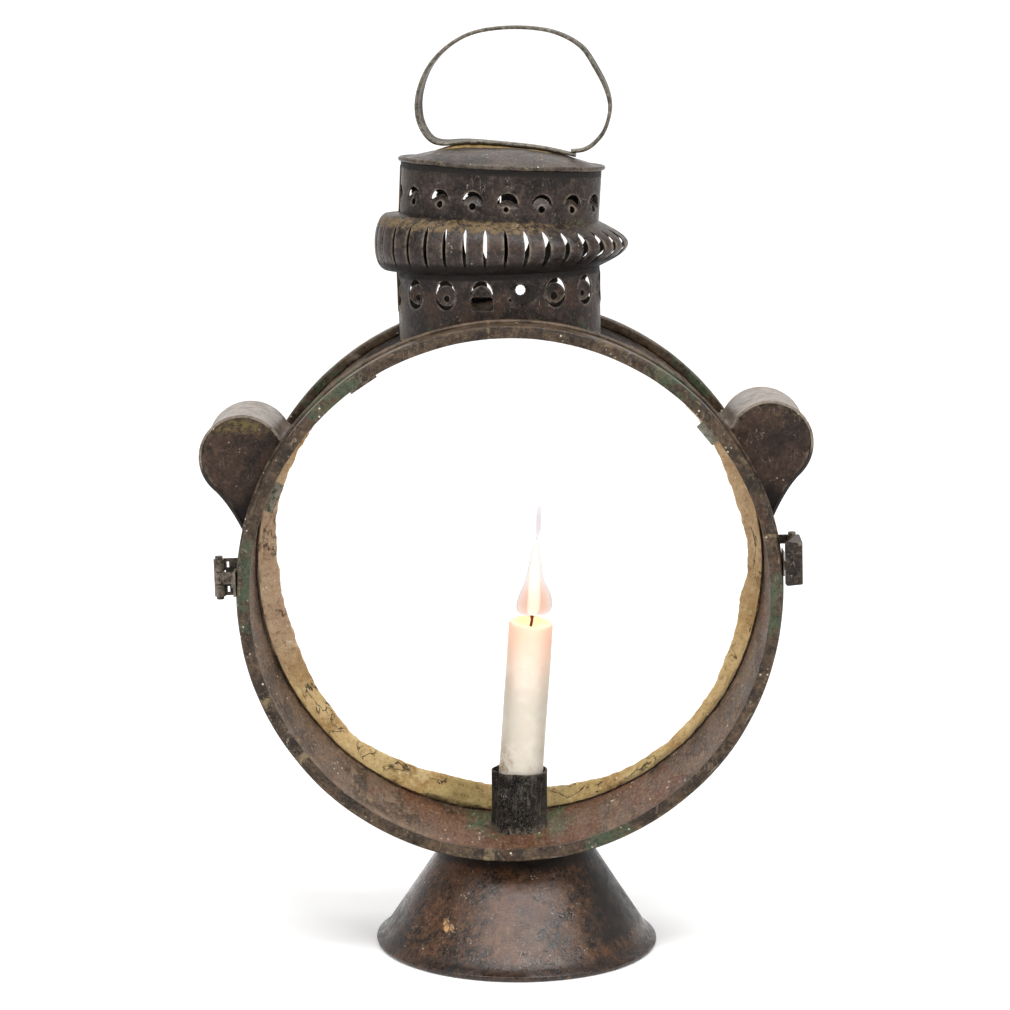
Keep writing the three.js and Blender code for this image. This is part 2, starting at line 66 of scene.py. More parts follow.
CHIMNEY_X, CHIMNEY_Y = -1.2, 7.0
CHIMNEY_HALF_WIDTH, CHIMNEY_HALF_DEPTH, TOP_HALF_WIDTH = 50.0, 38.0, 49.4
GALLERY_HALF_WIDTH, GALLERY_SHIFT = 63.4, 1.5
GALLERY_BOTTOM, GALLERY_TOP, CHIMNEY_TOP = 156.7, 182.2, 207.2
TOP_TILT = 4.2 * DEGREE
TIP_HEIGHT = (GALLERY_BOTTOM + GALLERY_TOP) / 2
RIB_COUNT, RIB_START = 34, 2.0
LOWER_VENTS, LOWER_VENT_START, LOWER_VENT_HEIGHT = 15, -8.5, 146.5
UPPER_VENTS, UPPER_VENT_START, UPPER_VENT_HEIGHT = 16, 3.7, 191.3

CAP_HALF_WIDTH, CAP_RISE, CAP_EDGE = 51.3, 8.0, 1.2
HANDLE_WIDTH, HANDLE_THICKNESS = 9.0, 1.8

EAR_DISTANCE, EAR_ANGLE, EAR_RADIUS, EAR_TAIL = 147.2, 28.1 * DEGREE, 21.2, 12.5 * DEGREE
EAR_FRONT, EAR_BACK, PLATE_RECESS = -26.0, 28.0, 1.6

LATCH_X, LATCH_Y, LATCH_Z, LATCH_LENGTH, KNUCKLE_RADIUS = 140.9, -16.0, 12.9, 22.0, 2.7

SOCKET_RADIUS, SOCKET_TOP, SOCKET_FLOOR = 14.2, 88.0, 61.5
CANDLE_RADIUS, CANDLE_LENGTH, CANDLE_TILT = 11.3, 103.0, 3.5 * DEGREE

# ---- Frames: each turns millimetres in one part's own axes into the model's metres ----
def middle(node):
    low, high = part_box(node)
    return (Vector(low) + Vector(high)) / 2


joint_axes = {joint["name"]: joint["axis"] for joint in frame["record"]["behaviour"]["joints"]}
lean = atan2(-joint_axes["latch_swing"][0], joint_axes["latch_swing"][2])
drum_centre = middle("back_ring")
drum_centre.y = 0
to_millimetres = Matrix.Scale(METRES, 4)
in_body = Matrix.Translation(drum_centre) @ Matrix.Rotation(-lean, 4, "Y") @ to_millimetres
top_centre = Vector((
    CHIMNEY_X + sin(TOP_TILT) * (CHIMNEY_TOP - TIP_HEIGHT),
    CHIMNEY_Y,
    TIP_HEIGHT + cos(TOP_TILT) * (CHIMNEY_TOP - TIP_HEIGHT),
))
in_top = in_body @ Matrix.Translation(top_centre) @ Matrix.Rotation(TOP_TILT, 4, "Y")
foot_x = middle("foot_cone").x
in_foot = Matrix.Translation((foot_x, 0, 0)) @ to_millimetres
socket_place = middle("candle_socket")
in_socket = Matrix.Translation((socket_place.x, socket_place.y, 0)) @ to_millimetres
candle_foot = Vector((
    -sin(CANDLE_TILT) * (SOCKET_TOP - SOCKET_FLOOR) / 2,
    0,
    SOCKET_FLOOR + 0.3 + sin(CANDLE_TILT) * CANDLE_RADIUS,
))
in_candle = in_socket @ Matrix.Translation(candle_foot) @ Matrix.Rotation(CANDLE_TILT, 4, "Y")

# ---- Camera, first because everything is seen from it ----
SENSOR_WIDTH = 36.0
CAMERA_LENS = 108.94
CAMERA_PITCH = 0.16999  # radians below the horizon
CAMERA_YAW = -0.001
CAMERA_ROLL = 0.004
CAMERA_PLACE = (-0.0019, -1.5115, 0.4854)

camera_data = bpy.data.cameras.new("camera")
camera_data.sensor_width = SENSOR_WIDTH
camera_data.lens = CAMERA_LENS
camera_data.clip_start = 0.05
camera_data.clip_end = 60
camera = bpy.data.objects.new("camera", camera_data)
bpy.context.scene.collection.objects.link(camera)
camera.matrix_world = (
    Matrix.Translation(CAMERA_PLACE)
    @ Matrix.Rotation(CAMERA_YAW, 4, "Z")
    @ Matrix.Rotation(pi / 2 - CAMERA_PITCH, 4, "X")
    @ Matrix.Rotation(CAMERA_ROLL, 4, "Z")
)
bpy.context.scene.camera = camera


# ---- Mesh helpers ----
def waves(x, y=0.0, z=0.0, seed=0.0):
    """Smooth noise from -1 to 1, with features about one unit across."""
    return noise.noise(Vector((x + seed * 17.3, y - seed * 5.1, z + seed * 3.7)))


def hoop(angle, size, along=0.0, seed=0.0):
    """Waves round a hoop, which close up on themselves. A larger size gives finer ones."""
    return waves(size * cos(angle), size * sin(angle), along, seed)


def polar(radius, angle):
    return (radius * cos(angle), radius * sin(angle))


def piece(name, points, faces, place, sharp=35, closed=True):
    """A mesh object whose points are given in millimetres in the axes of `place`."""
    mesh = bpy.data.meshes.new(name)
    mesh.from_pydata([place @ Vector(point) for point in points], [], faces)
    mesh.update()
    mesh.polygons.foreach_set("use_smooth", [True] * len(mesh.polygons))
    mesh.set_sharp_from_angle(angle=sharp * DEGREE)
    made = bpy.data.objects.new(name, mesh)
    bpy.context.scene.collection.objects.link(made)
    local_points[name] = points
    if closed:
        face_outward(made)
    return made


local_points = {}


def paint(made, **zones):
    """Stores a number from 0 to 1 at every point for each zone, worked out from the point's local place."""
    for zone, amount in zones.items():
        layer = made.data.attributes.new(zone, "FLOAT", "POINT")
        amounts = [amount(*point) for point in local_points[made.name]]
        layer.data.foreach_set("value", [max(0.0, min(1.0, value)) for value in amounts])


def grid_faces(rows, columns, wrap_rows, wrap_columns):
    faces = []
    for i in range(rows if wrap_rows else rows - 1):
        for j in range(columns if wrap_columns else columns - 1):
            k, m = (i + 1) % rows, (j + 1) % columns
            faces.append((i * columns + j, i * columns + m, k * columns + m, k * columns + j))
    return faces


def tube_faces(rows, sides):
    """The faces of a tube that is closed at both ends."""
    count = rows * sides
    ends = [tuple(range(sides)), tuple(reversed(range(count - sides, count)))]
    return grid_faces(rows, sides, False, True) + ends


def turned(name, profile, sides, point_at, place, sharp=35):
    """A closed profile of (radius, along) swept round. point_at(angle, radius, along) gives each point."""
    points = []
    for i in range(sides):
        angle = 2 * pi * i / sides
        points += [point_at(angle, radius, along) for radius, along in profile]
    faces = grid_faces(sides, len(profile), True, True)
    return piece(name, points, faces, place, sharp)


def face_outward(made):
    """Turns all faces over where the closed mesh is inside out."""
    mesh = made.data
    points = np.empty(len(mesh.vertices) * 3)
    mesh.vertices.foreach_get("co", points)
    points = points.reshape(-1, 3) - points.reshape(-1, 3).mean(axis=0)
    mesh.calc_loop_triangles()
    corners = np.empty(len(mesh.loop_triangles) * 3, dtype=np.int64)
    mesh.loop_triangles.foreach_get("vertices", corners)
    a, b, c = points[corners.reshape(-1, 3)].transpose(1, 0, 2)
    if np.einsum("ij,ij->i", a, np.cross(b, c)).sum() < 0:
        mesh.flip_normals()


def curve(start, pull, end, steps):
    """Points along a curve from start to end that is drawn towards `pull`."""
    spots = []
    for k in range(steps + 1):
        t = k / steps
        spot = start * (1 - t) ** 2 + pull * 2 * t * (1 - t) + end * t ** 2
        spots.append((spot.x, spot.y))
    return spots


def rounded(corners, size, steps=3):
    """A closed outline with each corner cut by a small arc. Corners are (x, y) or (x, y, size)."""
    outline = []
    count = len(corners)
    for i, corner in enumerate(corners):
        here = Vector(corner[:2])
        reach = corner[2] if len(corner) > 2 else size
        before = Vector(corners[i - 1][:2]) - here
        after = Vector(corners[(i + 1) % count][:2]) - here
        reach = min(reach, before.length * 0.45, after.length * 0.45)
        start, end = here + before.normalized() * reach, here + after.normalized() * reach
        outline += curve(start, here, end, steps)
    return outline


def arc(centre, radius, start, end, steps):
    """Points round part of a circle. Angles are in degrees."""
    spots = []
    for i in range(steps + 1):
        angle = (start + (end - start) * i / steps) * DEGREE
        spots.append((centre[0] + radius * cos(angle), centre[1] + radius * sin(angle)))
    return spots


def disc(centre, radius):
    return arc(centre, radius, 0, 340, 17)


def follow(path, step):
    """The running lengths of a path, and a function from length to the place and the direction there."""
    lengths = np.concatenate([[0], np.cumsum([dist(p, q) for p, q in zip(path, path[1:])])])
    columns = list(zip(*path))

    def place_at(along):
        here, ahead, behind = (
            [float(np.interp(length, lengths, column)) for column in columns]
            for length in (along, along + step, along - step)
        )
        return here, Vector((ahead[0] - behind[0], ahead[1] - behind[1])).normalized()

    return lengths, place_at


def inside(loop, points):
    """Which of the points (an n x 2 array) lie inside the closed loop."""
    loop = np.asarray(loop)
    low, high = loop.min(axis=0), loop.max(axis=0)
    found = np.zeros(len(points), dtype=bool)
    near = np.nonzero(((points >= low) & (points <= high)).all(axis=1))[0]
    x, y = points[near, 0], points[near, 1]
    within = np.zeros(len(near), dtype=bool)
    for (x0, y0), (x1, y1) in zip(loop, np.roll(loop, -1, axis=0)):
        if y0 != y1:
            crossing = (y0 > y) != (y1 > y)
            within ^= crossing & (x < (x1 - x0) * (y - y0) / (y1 - y0) + x0)
    found[near] = within
    return found


def cut_sheet(outline, holes, step):
    """Triangulates a flat sheet with holes. Returns its points, triangles and boundary edges."""
    spots, edges = [], []
    for loop in [outline, *holes]:
        first = len(spots)
        spots += [tuple(spot) for spot in loop]
        edges += [(first + i, first + (i + 1) % len(loop)) for i in range(len(loop))]
    tree = kdtree.KDTree(len(spots))
    for i, (x, y) in enumerate(spots):
        tree.insert((x, y, 0), i)
    tree.balance()
    low, high = np.min(outline, axis=0), np.max(outline, axis=0)
    mesh_x, mesh_y = np.meshgrid(*(np.arange(low[i] + step / 2, high[i], step) for i in (0, 1)))
    lattice = np.column_stack([mesh_x.ravel(), mesh_y.ravel()])
    keep = inside(outline, lattice)
    for hole in holes:
        keep &= ~inside(hole, lattice)
    spots += [(x, y) for x, y in lattice[keep] if tree.find((x, y, 0))[2] > step * 0.45]
    corners = [Vector(spot) for spot in spots]
    flat, _, triangles, _, _, _ = geometry.delaunay_2d_cdt(corners, edges, [], 0, 1e-6)
    flat = np.array([(spot.x, spot.y) for spot in flat])
    triangles = np.array([triangle for triangle in triangles if len(triangle) == 3])
    middles = flat[triangles].mean(axis=1)
    keep = inside(outline, middles)
    for hole in holes:
        keep &= ~inside(hole, middles)
    triangles = triangles[keep]
    counted = {}
    for a, b, c in triangles.tolist():
        for edge in ((a, b), (b, c), (c, a)):
            counted[edge] = True
    rims = [edge for edge in counted if (edge[1], edge[0]) not in counted]
    return flat, triangles.tolist(), rims


def sheet_piece(name, outline, holes, step, point_at, thickness, place, sharp=40):
    """A sheet with holes, bent by point_at(x, y, depth). Depth is 0 at the outer face."""
    flat, triangles, rims = cut_sheet(outline, holes, step)
    used = sorted({corner for triangle in triangles for corner in triangle})
    renumbered = {old: new for new, old in enumerate(used)}
    count = len(used)
    points = [point_at(*flat[i], 0.0) for i in used] + [point_at(*flat[i], thickness) for i in used]
    faces = [tuple(renumbered[i] for i in triangle) for triangle in triangles]
    faces += [tuple(count + renumbered[i] for i in reversed(triangle)) for triangle in triangles]
    for a, b in rims:
        a, b = renumbered[a], renumbered[b]
        faces.append((b, a, a + count, b + count))
    made = piece(name, points, faces, place, sharp)
    layer = made.data.attributes.new("inside", "FLOAT", "POINT")
    layer.data.foreach_set("value", [0.0] * count + [1.0] * count)
    return made


def stands_for(made, body, finish, slot, *nodes):
    made.data.materials.append(finishes[finish])
    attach(made, body)
    if nodes:
        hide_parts(*nodes)


def soften(made, width, segments=2, angle=35):
    bevel = made.modifiers.new("soft_edges", "BEVEL")
    bevel.width = width * METRES
    bevel.segments = segments
    bevel.limit_method = "ANGLE"
    bevel.angle_limit = angle * DEGREE


def between(value, low, high):
    """Smoothly from 0 at low to 1 at high."""
    share = max(0.0, min(1.0, (value - low) / (high - low)))
    return share * share * (3 - 2 * share)


# ---- Finishes ----
def shade(hex_colour, gain=1.0):
    """A colour written as it looks on a screen, in the linear values that nodes take."""
    channels = [int(hex_colour[i:i + 2], 16) / 255 for i in (0, 2, 4)]
    linear = [c / 12.92 if c <= 0.04045 else ((c + 0.055) / 1.055) ** 2.4 for c in channels]
    return (*[c * gain for c in linear], 1.0)


class Finish:
    """A material under construction, with short ways to add nodes."""

    def __init__(self, name):
        self.material = bpy.data.materials.new(name)
        self.material.use_nodes = True
        self.tree = self.material.node_tree
        self.tree.nodes.clear()
        self.place = self.node("ShaderNodeTexCoord").outputs["Object"]

    def node(self, kind, inputs=None, **settings):
        made = self.tree.nodes.new(kind)
        for key, value in settings.items():
            setattr(made, key, value)
        for key, value in (inputs or {}).items():
            if isinstance(value, bpy.types.NodeSocket):
                self.tree.links.new(value, made.inputs[key])
            else:
                made.inputs[key].default_value = value
        return made

    def stretched(self, scale):
        return self.node("ShaderNodeMapping", {"Vector": self.place, "Scale": scale}).outputs["Vector"]

    def noise(self, scale, detail=4.0, roughness=0.6, distortion=0.0, place=None):
        inputs = {"Vector": place or self.place, "Scale": scale, "Detail": detail}
        inputs.update({"Roughness": roughness, "Distortion": distortion})
        return self.node("ShaderNodeTexNoise", inputs).outputs["Fac"]

    def cells(self, scale):
        return self.node("ShaderNodeTexVoronoi", {"Vector": self.place, "Scale": scale}).outputs["Distance"]

    def math(self, operation, a, b=0.0, clamp=False):
        made = self.node("ShaderNodeMath", {0: a, 1: b}, operation=operation)
        made.use_clamp = clamp
        return made.outputs[0]

    def times(self, a, b):
        return self.math("MULTIPLY", a, b)

    def plus(self, a, b):
        return self.math("ADD", a, b)

    def off_middle(self, value):
        """How far a noise is from its middle value: near 0 along thin winding lines."""
        return self.math("ABSOLUTE", self.math("SUBTRACT", value, 0.5))

    def band(self, value, low, high, to_low=0.0, to_high=1.0):
        inputs = {"Value": value, "From Min": low, "From Max": high, "To Min": to_low, "To Max": to_high}
        return self.node("ShaderNodeMapRange", inputs, interpolation_type="SMOOTHSTEP").outputs["Result"]

    def mix(self, factor, a, b):
        return self.node("ShaderNodeMix", {0: factor, 6: a, 7: b}, data_type="RGBA").outputs[2]

    def over(self, colour, mask, strength, tint, gain=1.0):
        """Lays a tint over the colour where the mask is."""
        return self.mix(self.times(mask, strength), colour, shade(tint, gain))

    def zone(self, name):
        return self.node("ShaderNodeAttribute", attribute_name=name).outputs["Fac"]

    def bump(self, height, strength, distance, normal=None):
        inputs = {"Height": height, "Strength": strength, "Distance": distance}
        if normal:
            inputs["Normal"] = normal
        return self.node("ShaderNodeBump", inputs).outputs["Normal"]

    def finish(self, **inputs):
        named = {key.replace("_", " "): value for key, value in inputs.items()}
        surface = self.node("ShaderNodeBsdfPrincipled", named)
        self.node("ShaderNodeOutputMaterial", {"Surface": surface.outputs[0]})
        return self.material


SOOT_AND_SHADE, PALE_SPECK = "15100d", "cdc4b2"


def tin(name, dark, mid, light, worn="85765a", green="3b4a36", rust="5c3826", edge="8a7d6e",
        roughness=0.42, gloss=0.22, metallic=0.0, mottle=42.0, specks=0.6, grain=1.0, scuffs=0.5,
        streaks=None, sooty_inside=False, squeeze=None):
    """Aged tinplate: mottled lacquer, tarnish, corroded places, pale specks, scratches and edges rubbed bare.
    The zones green, worn, rust, soot and pale bring those on where the piece is painted with them; worn also
    lays painted highlights, soot painted shade, and pale lays painted highlights on most pieces."""
    f = Finish(name)
    if squeeze:
        f.place = f.stretched(squeeze)
    broad = f.noise(mottle, 6, 0.62, 0.6)
    middling = f.noise(mottle * 3.7, 6, 0.68, 0.4)
    fine = f.noise(mottle * 14, 4, 0.7)
    colour = f.mix(f.band(broad, 0.38, 0.6), shade(dark), shade(mid))
    colour = f.over(colour, f.band(middling, 0.5, 0.68), 0.75, light)
    colour = f.over(colour, f.band(middling, 0.47, 0.32), 0.7, dark, 0.6)
    if streaks:
        lines = f.noise(1.0, 4, 0.7, place=f.stretched(streaks))
        colour = f.over(colour, f.band(lines, 0.5, 0.66), 0.5, light, 1.1)
        colour = f.over(colour, f.band(lines, 0.46, 0.3), 0.6, dark, 0.5)
    rust_amount = f.plus(f.noise(mottle * 1.3, 5, 0.65, 0.5), f.times(f.zone("rust"), 0.3))
    rust_mask = f.band(rust_amount, 0.62, 0.76)
    colour = f.over(colour, rust_mask, 0.75, rust)
    green_amount = f.plus(f.noise(mottle * 2.3, 6, 0.72, 0.8), f.times(f.zone("green"), 0.24))
    green_mask = f.band(green_amount, 0.66, 0.8)
    colour = f.over(colour, green_mask, 0.75, green)
    colour = f.over(colour, f.band(fine, 0.52, 0.66), 0.5 * grain, light, 1.15)
    colour = f.over(colour, f.band(fine, 0.48, 0.34), 0.6 * grain, dark, 0.4)
    # worn: bare and tan wear, and on some pieces painted highlight lines along lit edges
    worn_amount = f.plus(f.noise(mottle * 6.5, 7, 0.78, 0.5), f.times(f.zone("worn"), 0.27))
    worn_mask = f.band(worn_amount, 0.67, 0.82)
    colour = f.over(colour, worn_mask, 0.8, worn)
    # pale: a lighter tint, which on most pieces is a painted highlight
    pale_amount = f.times(f.zone("pale"), f.band(f.noise(mottle * 2.6, 6, 0.7), 0.32, 0.66))
    colour = f.over(colour, pale_amount, 0.8, light, 1.4)
    hair = f.off_middle(f.noise(1.0, 2, 0.5, 0.4, f.stretched((260, 260, 60))))
    hair = f.times(f.band(hair, 0.009, 0.002), f.band(f.noise(mottle * 1.7, 3, 0.5), 0.5, 0.62))
    colour = f.over(colour, hair, scuffs, edge)
    ridges = f.band(f.node("ShaderNodeNewGeometry").outputs["Pointiness"], 0.515, 0.59)
    edge_mask = f.times(f.times(ridges, f.band(middling, 0.36, 0.58)), 0.6)
    colour = f.mix(edge_mask, colour, shade(edge))
    dots = f.band(f.cells(mottle * 9), 0.26, 0.14)
    sparse = f.band(f.noise(mottle * 2.1, 4, 0.6), 0.55, 0.66)
    speck_mask = f.times(f.times(dots, sparse), specks)
    colour = f.mix(speck_mask, colour, shade(PALE_SPECK))
    # soot: soot, and painted shade on undersides, under overhangs and in creases
    soot = f.times(f.zone("soot"), 0.6)
    soot = f.band(f.plus(soot, f.times(f.noise(mottle * 2.2, 6, 0.72), 0.6)), 0.5, 0.78)
    # the inside face is laid dark all over: soot, and painted shade that makes the slits and vents read dark
    if sooty_inside:
        soot = f.math("MAXIMUM", soot, f.zone("inside"))
    colour = f.over(colour, soot, 0.92, SOOT_AND_SHADE)
    rough = f.band(middling, 0.3, 0.7, roughness - 0.12, roughness + 0.14)
    rough = f.math("ADD", rough, f.times(f.math("MAXIMUM", worn_mask, soot), 0.25), clamp=True)
    relief = f.plus(f.times(fine, 0.7), middling)
    normal = f.bump(relief, 0.4, 0.0007)
    normal = f.bump(f.plus(worn_mask, speck_mask), 0.4, 0.00025, normal)
    return f.finish(
        Base_Color=colour, Metallic=metallic, Roughness=rough, Normal=normal, Specular_IOR_Level=gloss,
    )


finishes = {
    "ring": tin("ring_finish", "221911", "423325", "5e4d3b", worn="7c6c50",
                specks=0.9, roughness=0.38, gloss=0.3),
    "drum": tin("drum_finish", "352619", "65503f", "8c7661", green="46563a", worn="7d6048", rust="65412c",
                specks=0.9, roughness=0.5, gloss=0.08, mottle=50.0, squeeze=(1, 0.32, 1)),
    "foot": tin("foot_finish", "18100b", "493120", "684730", worn="cda066", rust="583822", mottle=60.0,
                specks=0.6, roughness=0.16, gloss=0.45, streaks=(420, 420, 25)),
    "chimney": tin("chimney_finish", "17110e", "2f2520", "4a3d36", worn="6f5c3f", green="3f4a33",
                   rust="3f2a20", roughness=0.34, gloss=0.28, mottle=50.0, specks=0.35, sooty_inside=True),
    "cap": tin("cap_finish", "221a15", "3c322b", "5d5148", worn="7a6a50",
               roughness=0.34, mottle=46.0, gloss=0.3),
    "handle": tin("handle_finish", "38332b", "5f584c", "918a7c", worn="7a6b52", roughness=0.34, metallic=0.4,
                  mottle=95.0, gloss=0.4),
    "ear_strip": tin("ear_strip_finish", "423831", "685b50", "8b7e72", worn="6d5240", rust="6a5040",
                     roughness=0.36, metallic=0.2, mottle=60.0, gloss=0.4, scuffs=0.9),
    "ear_plate": tin("ear_plate_finish", "1e1612", "382921", "503d31", worn="6a5c3a", green="444a33",
                     rust="4c3022", roughness=0.42, mottle=52.0, grain=0.7, specks=0.4),
    "iron": tin("iron_finish", "120e0c", "2b231f", "4f443b", worn="6b5a4a", roughness=0.42, mottle=120.0),
    "hinge": tin("hinge_finish", "1f1915", "372e27", "564a3f", worn="75664f", roughness=0.42, mottle=120.0),
    "socket": tin("socket_finish", "080706", "1f1b18", "5d5850", worn="8f8a80", green="3c4a40", rust="33231b",
                  specks=1.0, roughness=0.5, mottle=120.0, gloss=0.08, streaks=(420, 420, 90)),
    "clip": tin("clip_finish", "46503f", "6b7563", "99a08d", worn="b0ab96", green="56684c", roughness=0.5,
                mottle=140.0),
    "green_clip": tin("green_clip_finish", "1d2a17", "2c3b22", "47553a", worn="5c5f42", green="2b4020",
                      roughness=0.5, mottle=140.0),
    "solder": tin("solder_finish", "5c4a2b", "8d7346", "b09563", worn="c0a774", roughness=0.42, mottle=120.0),
}


def putty_finish():
    f = Finish("putty_finish")
    broad = f.noise(30, 5, 0.6, 0.6)
    middling = f.noise(130, 6, 0.7, 0.5)
    fine = f.noise(520, 6, 0.75)
    colour = f.mix(f.band(broad, 0.38, 0.62), shade("b39058"), shade("d8bb84"))
    colour = f.over(colour, f.band(middling, 0.5, 0.68), 0.65, "ead3a1")
    colour = f.over(colour, f.band(middling, 0.46, 0.32), 0.5, "80603a")
    colour = f.over(colour, f.zone("pale"), 0.6, "c3a692")
    colour = f.mix(f.times(f.zone("green"), f.band(broad, 0.3, 0.7, 0, 0.75)), colour, shade("b3a163"))
    colour = f.over(colour, f.band(fine, 0.52, 0.66), 0.5, "dac9a3")
    colour = f.over(colour, f.band(fine, 0.47, 0.34), 0.5, "6a4e2c")
    stains = f.band(f.noise(70, 6, 0.7, 0.8), 0.56, 0.7)
    colour = f.over(colour, stains, 0.65, "7a552c")
    cracks = f.off_middle(f.noise(1.0, 4, 0.6, 0.6, f.stretched((42, 120, 42))))
    cracks = f.times(f.band(cracks, 0.014, 0.002), f.band(f.noise(60, 3, 0.5), 0.45, 0.55))
    # darker along the putty's outer edge against the drum wall, most at the lower right and the bottom
    rim = f.times(f.zone("soot"), f.band(middling, 0.35, 0.55))
    cracks = f.math("MAXIMUM", cracks, rim)
    colour = f.over(colour, cracks, 0.85, "35281a")
    flecks = f.times(f.band(f.cells(330), 0.24, 0.12), f.band(f.noise(90, 4, 0.6), 0.55, 0.64))
    colour = f.over(colour, flecks, 0.8, "ebe4d2")
    height = f.math("SUBTRACT", f.plus(f.times(fine, 0.5), middling), cracks)
    return f.finish(
        Base_Color=colour, Roughness=0.8, Normal=f.bump(height, 0.9, 0.0016), Specular_IOR_Level=0.3,
    )


def wax_finish():
    f = Finish("wax_finish")
    cloud = f.noise(60, 4, 0.55, 0.4)
    colour = f.mix(f.band(cloud, 0.35, 0.7), shade("d6cdbd"), shade("e9e2d5"))
    # painted flame light: near its top the wax is tinted and made to glow warm, as if lit by the flame
    colour = f.mix(f.zone("glow"), colour, shade("f6cdb4"))
    smears = f.times(f.zone("soot"), f.band(f.noise(150, 6, 0.75, 0.6), 0.45, 0.66))
    colour = f.over(colour, smears, 0.8, "8d6a44")
    specks = f.times(f.band(f.cells(420), 0.14, 0.05), f.band(f.noise(130, 2, 0.5), 0.6, 0.66))
    colour = f.over(colour, specks, 0.6, "6d5138")
    flame_glow = f.mix(f.zone("glow"), shade("000000"), shade("ff9d6b"))
    normal = f.bump(f.plus(cloud, f.times(f.noise(320, 3, 0.5), 0.25)), 0.25, 0.0008)
    return f.finish(
        Base_Color=colour, Roughness=0.42, Normal=normal, Subsurface_Weight=0.35, Subsurface_Scale=0.006,
        Subsurface_Radius=(1.0, 0.6, 0.4), Emission_Color=flame_glow, Emission_Strength=0.16,
        Specular_IOR_Level=0.3,
    )


def wick_finish():
    f = Finish("wick_finish")
    fibres = f.noise(1.0, 4, 0.7, place=f.stretched((2600, 2600, 500)))
    colour = f.mix(f.band(fibres, 0.4, 0.65), shade("0c0807"), shade("46302a"))
    return f.finish(Base_Color=colour, Roughness=0.9, Normal=f.bump(fibres, 0.6, 0.0004))


def glass_finish():
    """Thin clear glass: it hardly shows but for a faint film of dust."""
    f = Finish("glass_finish")
    dust = f.band(f.noise(35, 5, 0.6), 0.35, 0.8, 0.002, 0.007)
    return f.finish(Base_Color=(0.8, 0.8, 0.8, 1), Roughness=0.04, Alpha=dust)


finishes["putty"] = putty_finish()
finishes["wax"] = wax_finish()
finishes["wick"] = wick_finish()
finishes["glass"] = glass_finish()


# ---- The drum, its door and its back ----
RING_SIDES = 360


def dent(angle):
    """How far the drum and the rings on it are out of round."""
    return 0.45 * hoop(angle, 2.2, seed=1)


def hoop_point(angle, radius, along):
    """A point on a hoop about the drum's axis. Angle 0 is at the right, and 90 degrees at the top."""
    ripple = 0.12 * hoop(angle, 9, along * 0.05, seed=2)
    reach = radius + dent(angle) + ripple
    sway = 0.35 * hoop(angle, 3, seed=3)
    return (reach * cos(angle), along + sway, reach * sin(angle))


def near_angle(x, z, angle, width):
    """1 at an angle round the drum, in degrees, falling to 0 at `width` degrees from it."""
    away = abs((atan2(z, x) / DEGREE - angle + 180) % 360 - 180)
    return 1 - between(away, width * 0.4, width)


def make_door():
    inner, outer = DOOR_RADIUS - DOOR_FLANGE, DOOR_RADIUS
    profile = rounded([
        (inner, DOOR_FRONT + 0.1), (outer - 2.2, DOOR_FRONT + 0.1), (outer - 1.5, DOOR_FRONT - 0.2),
        (outer - 0.7, DOOR_FRONT - 0.25), (outer, DOOR_FRONT + 0.5), (outer, DOOR_FRONT + 1.4),
        (outer, RIM_BACK - 1.6),
    ], 0.35)
    profile += arc((outer - SHEET + RIM_ROLL, RIM_BACK), RIM_ROLL, -120, 170, 12)
    profile += rounded([
        (outer - SHEET, RIM_BACK - 1.5), (outer - SHEET, DOOR_FRONT + SHEET), (inner, DOOR_FRONT + SHEET),
    ], 0.2)
    frame_ring = turned("door_ring", profile, RING_SIDES, hoop_point, in_body)
    bare = ((-158, 2.2), (-143.5, 1.6), (93, 1.2), (-96, 2.0), (12, 1.5))
    tarnished = ((129, 14), (176, 16), (52, 9), (-70, 9), (-3, 12))
    paint(
        frame_ring,
        green=lambda x, y, z: max(near_angle(x, z, *spot) for spot in tarnished),
        # painted highlights: the whole rolled back edge of the rim and the top of the ring are made lighter;
        # the listed bare spots are wear
        worn=lambda x, y, z: max(
            0.6 * between(-y, 47.0, 47.2), 0.35 * near_angle(x, z, 90, 38), 0.8 * between(y, -33.4, -32.2),
            max(near_angle(x, z, *spot) for spot in bare),
        ),
        rust=lambda x, y, z: 0.3 * near_angle(x, z, -75, 60) + 0.15 * near_angle(x, z, 15, 30),
        # painted highlight along the outer edge at the top
        pale=lambda x, y, z: 0.7 * between(hypot(x, z), 133.2, 133.6) * near_angle(x, z, 95, 55),
        soot=lambda x, y, z: 0.25 * between(hypot(x, z), 128.6, 127.4),
    )
    stands_for(frame_ring, "door", "ring", "ring_tin", "door_frame")


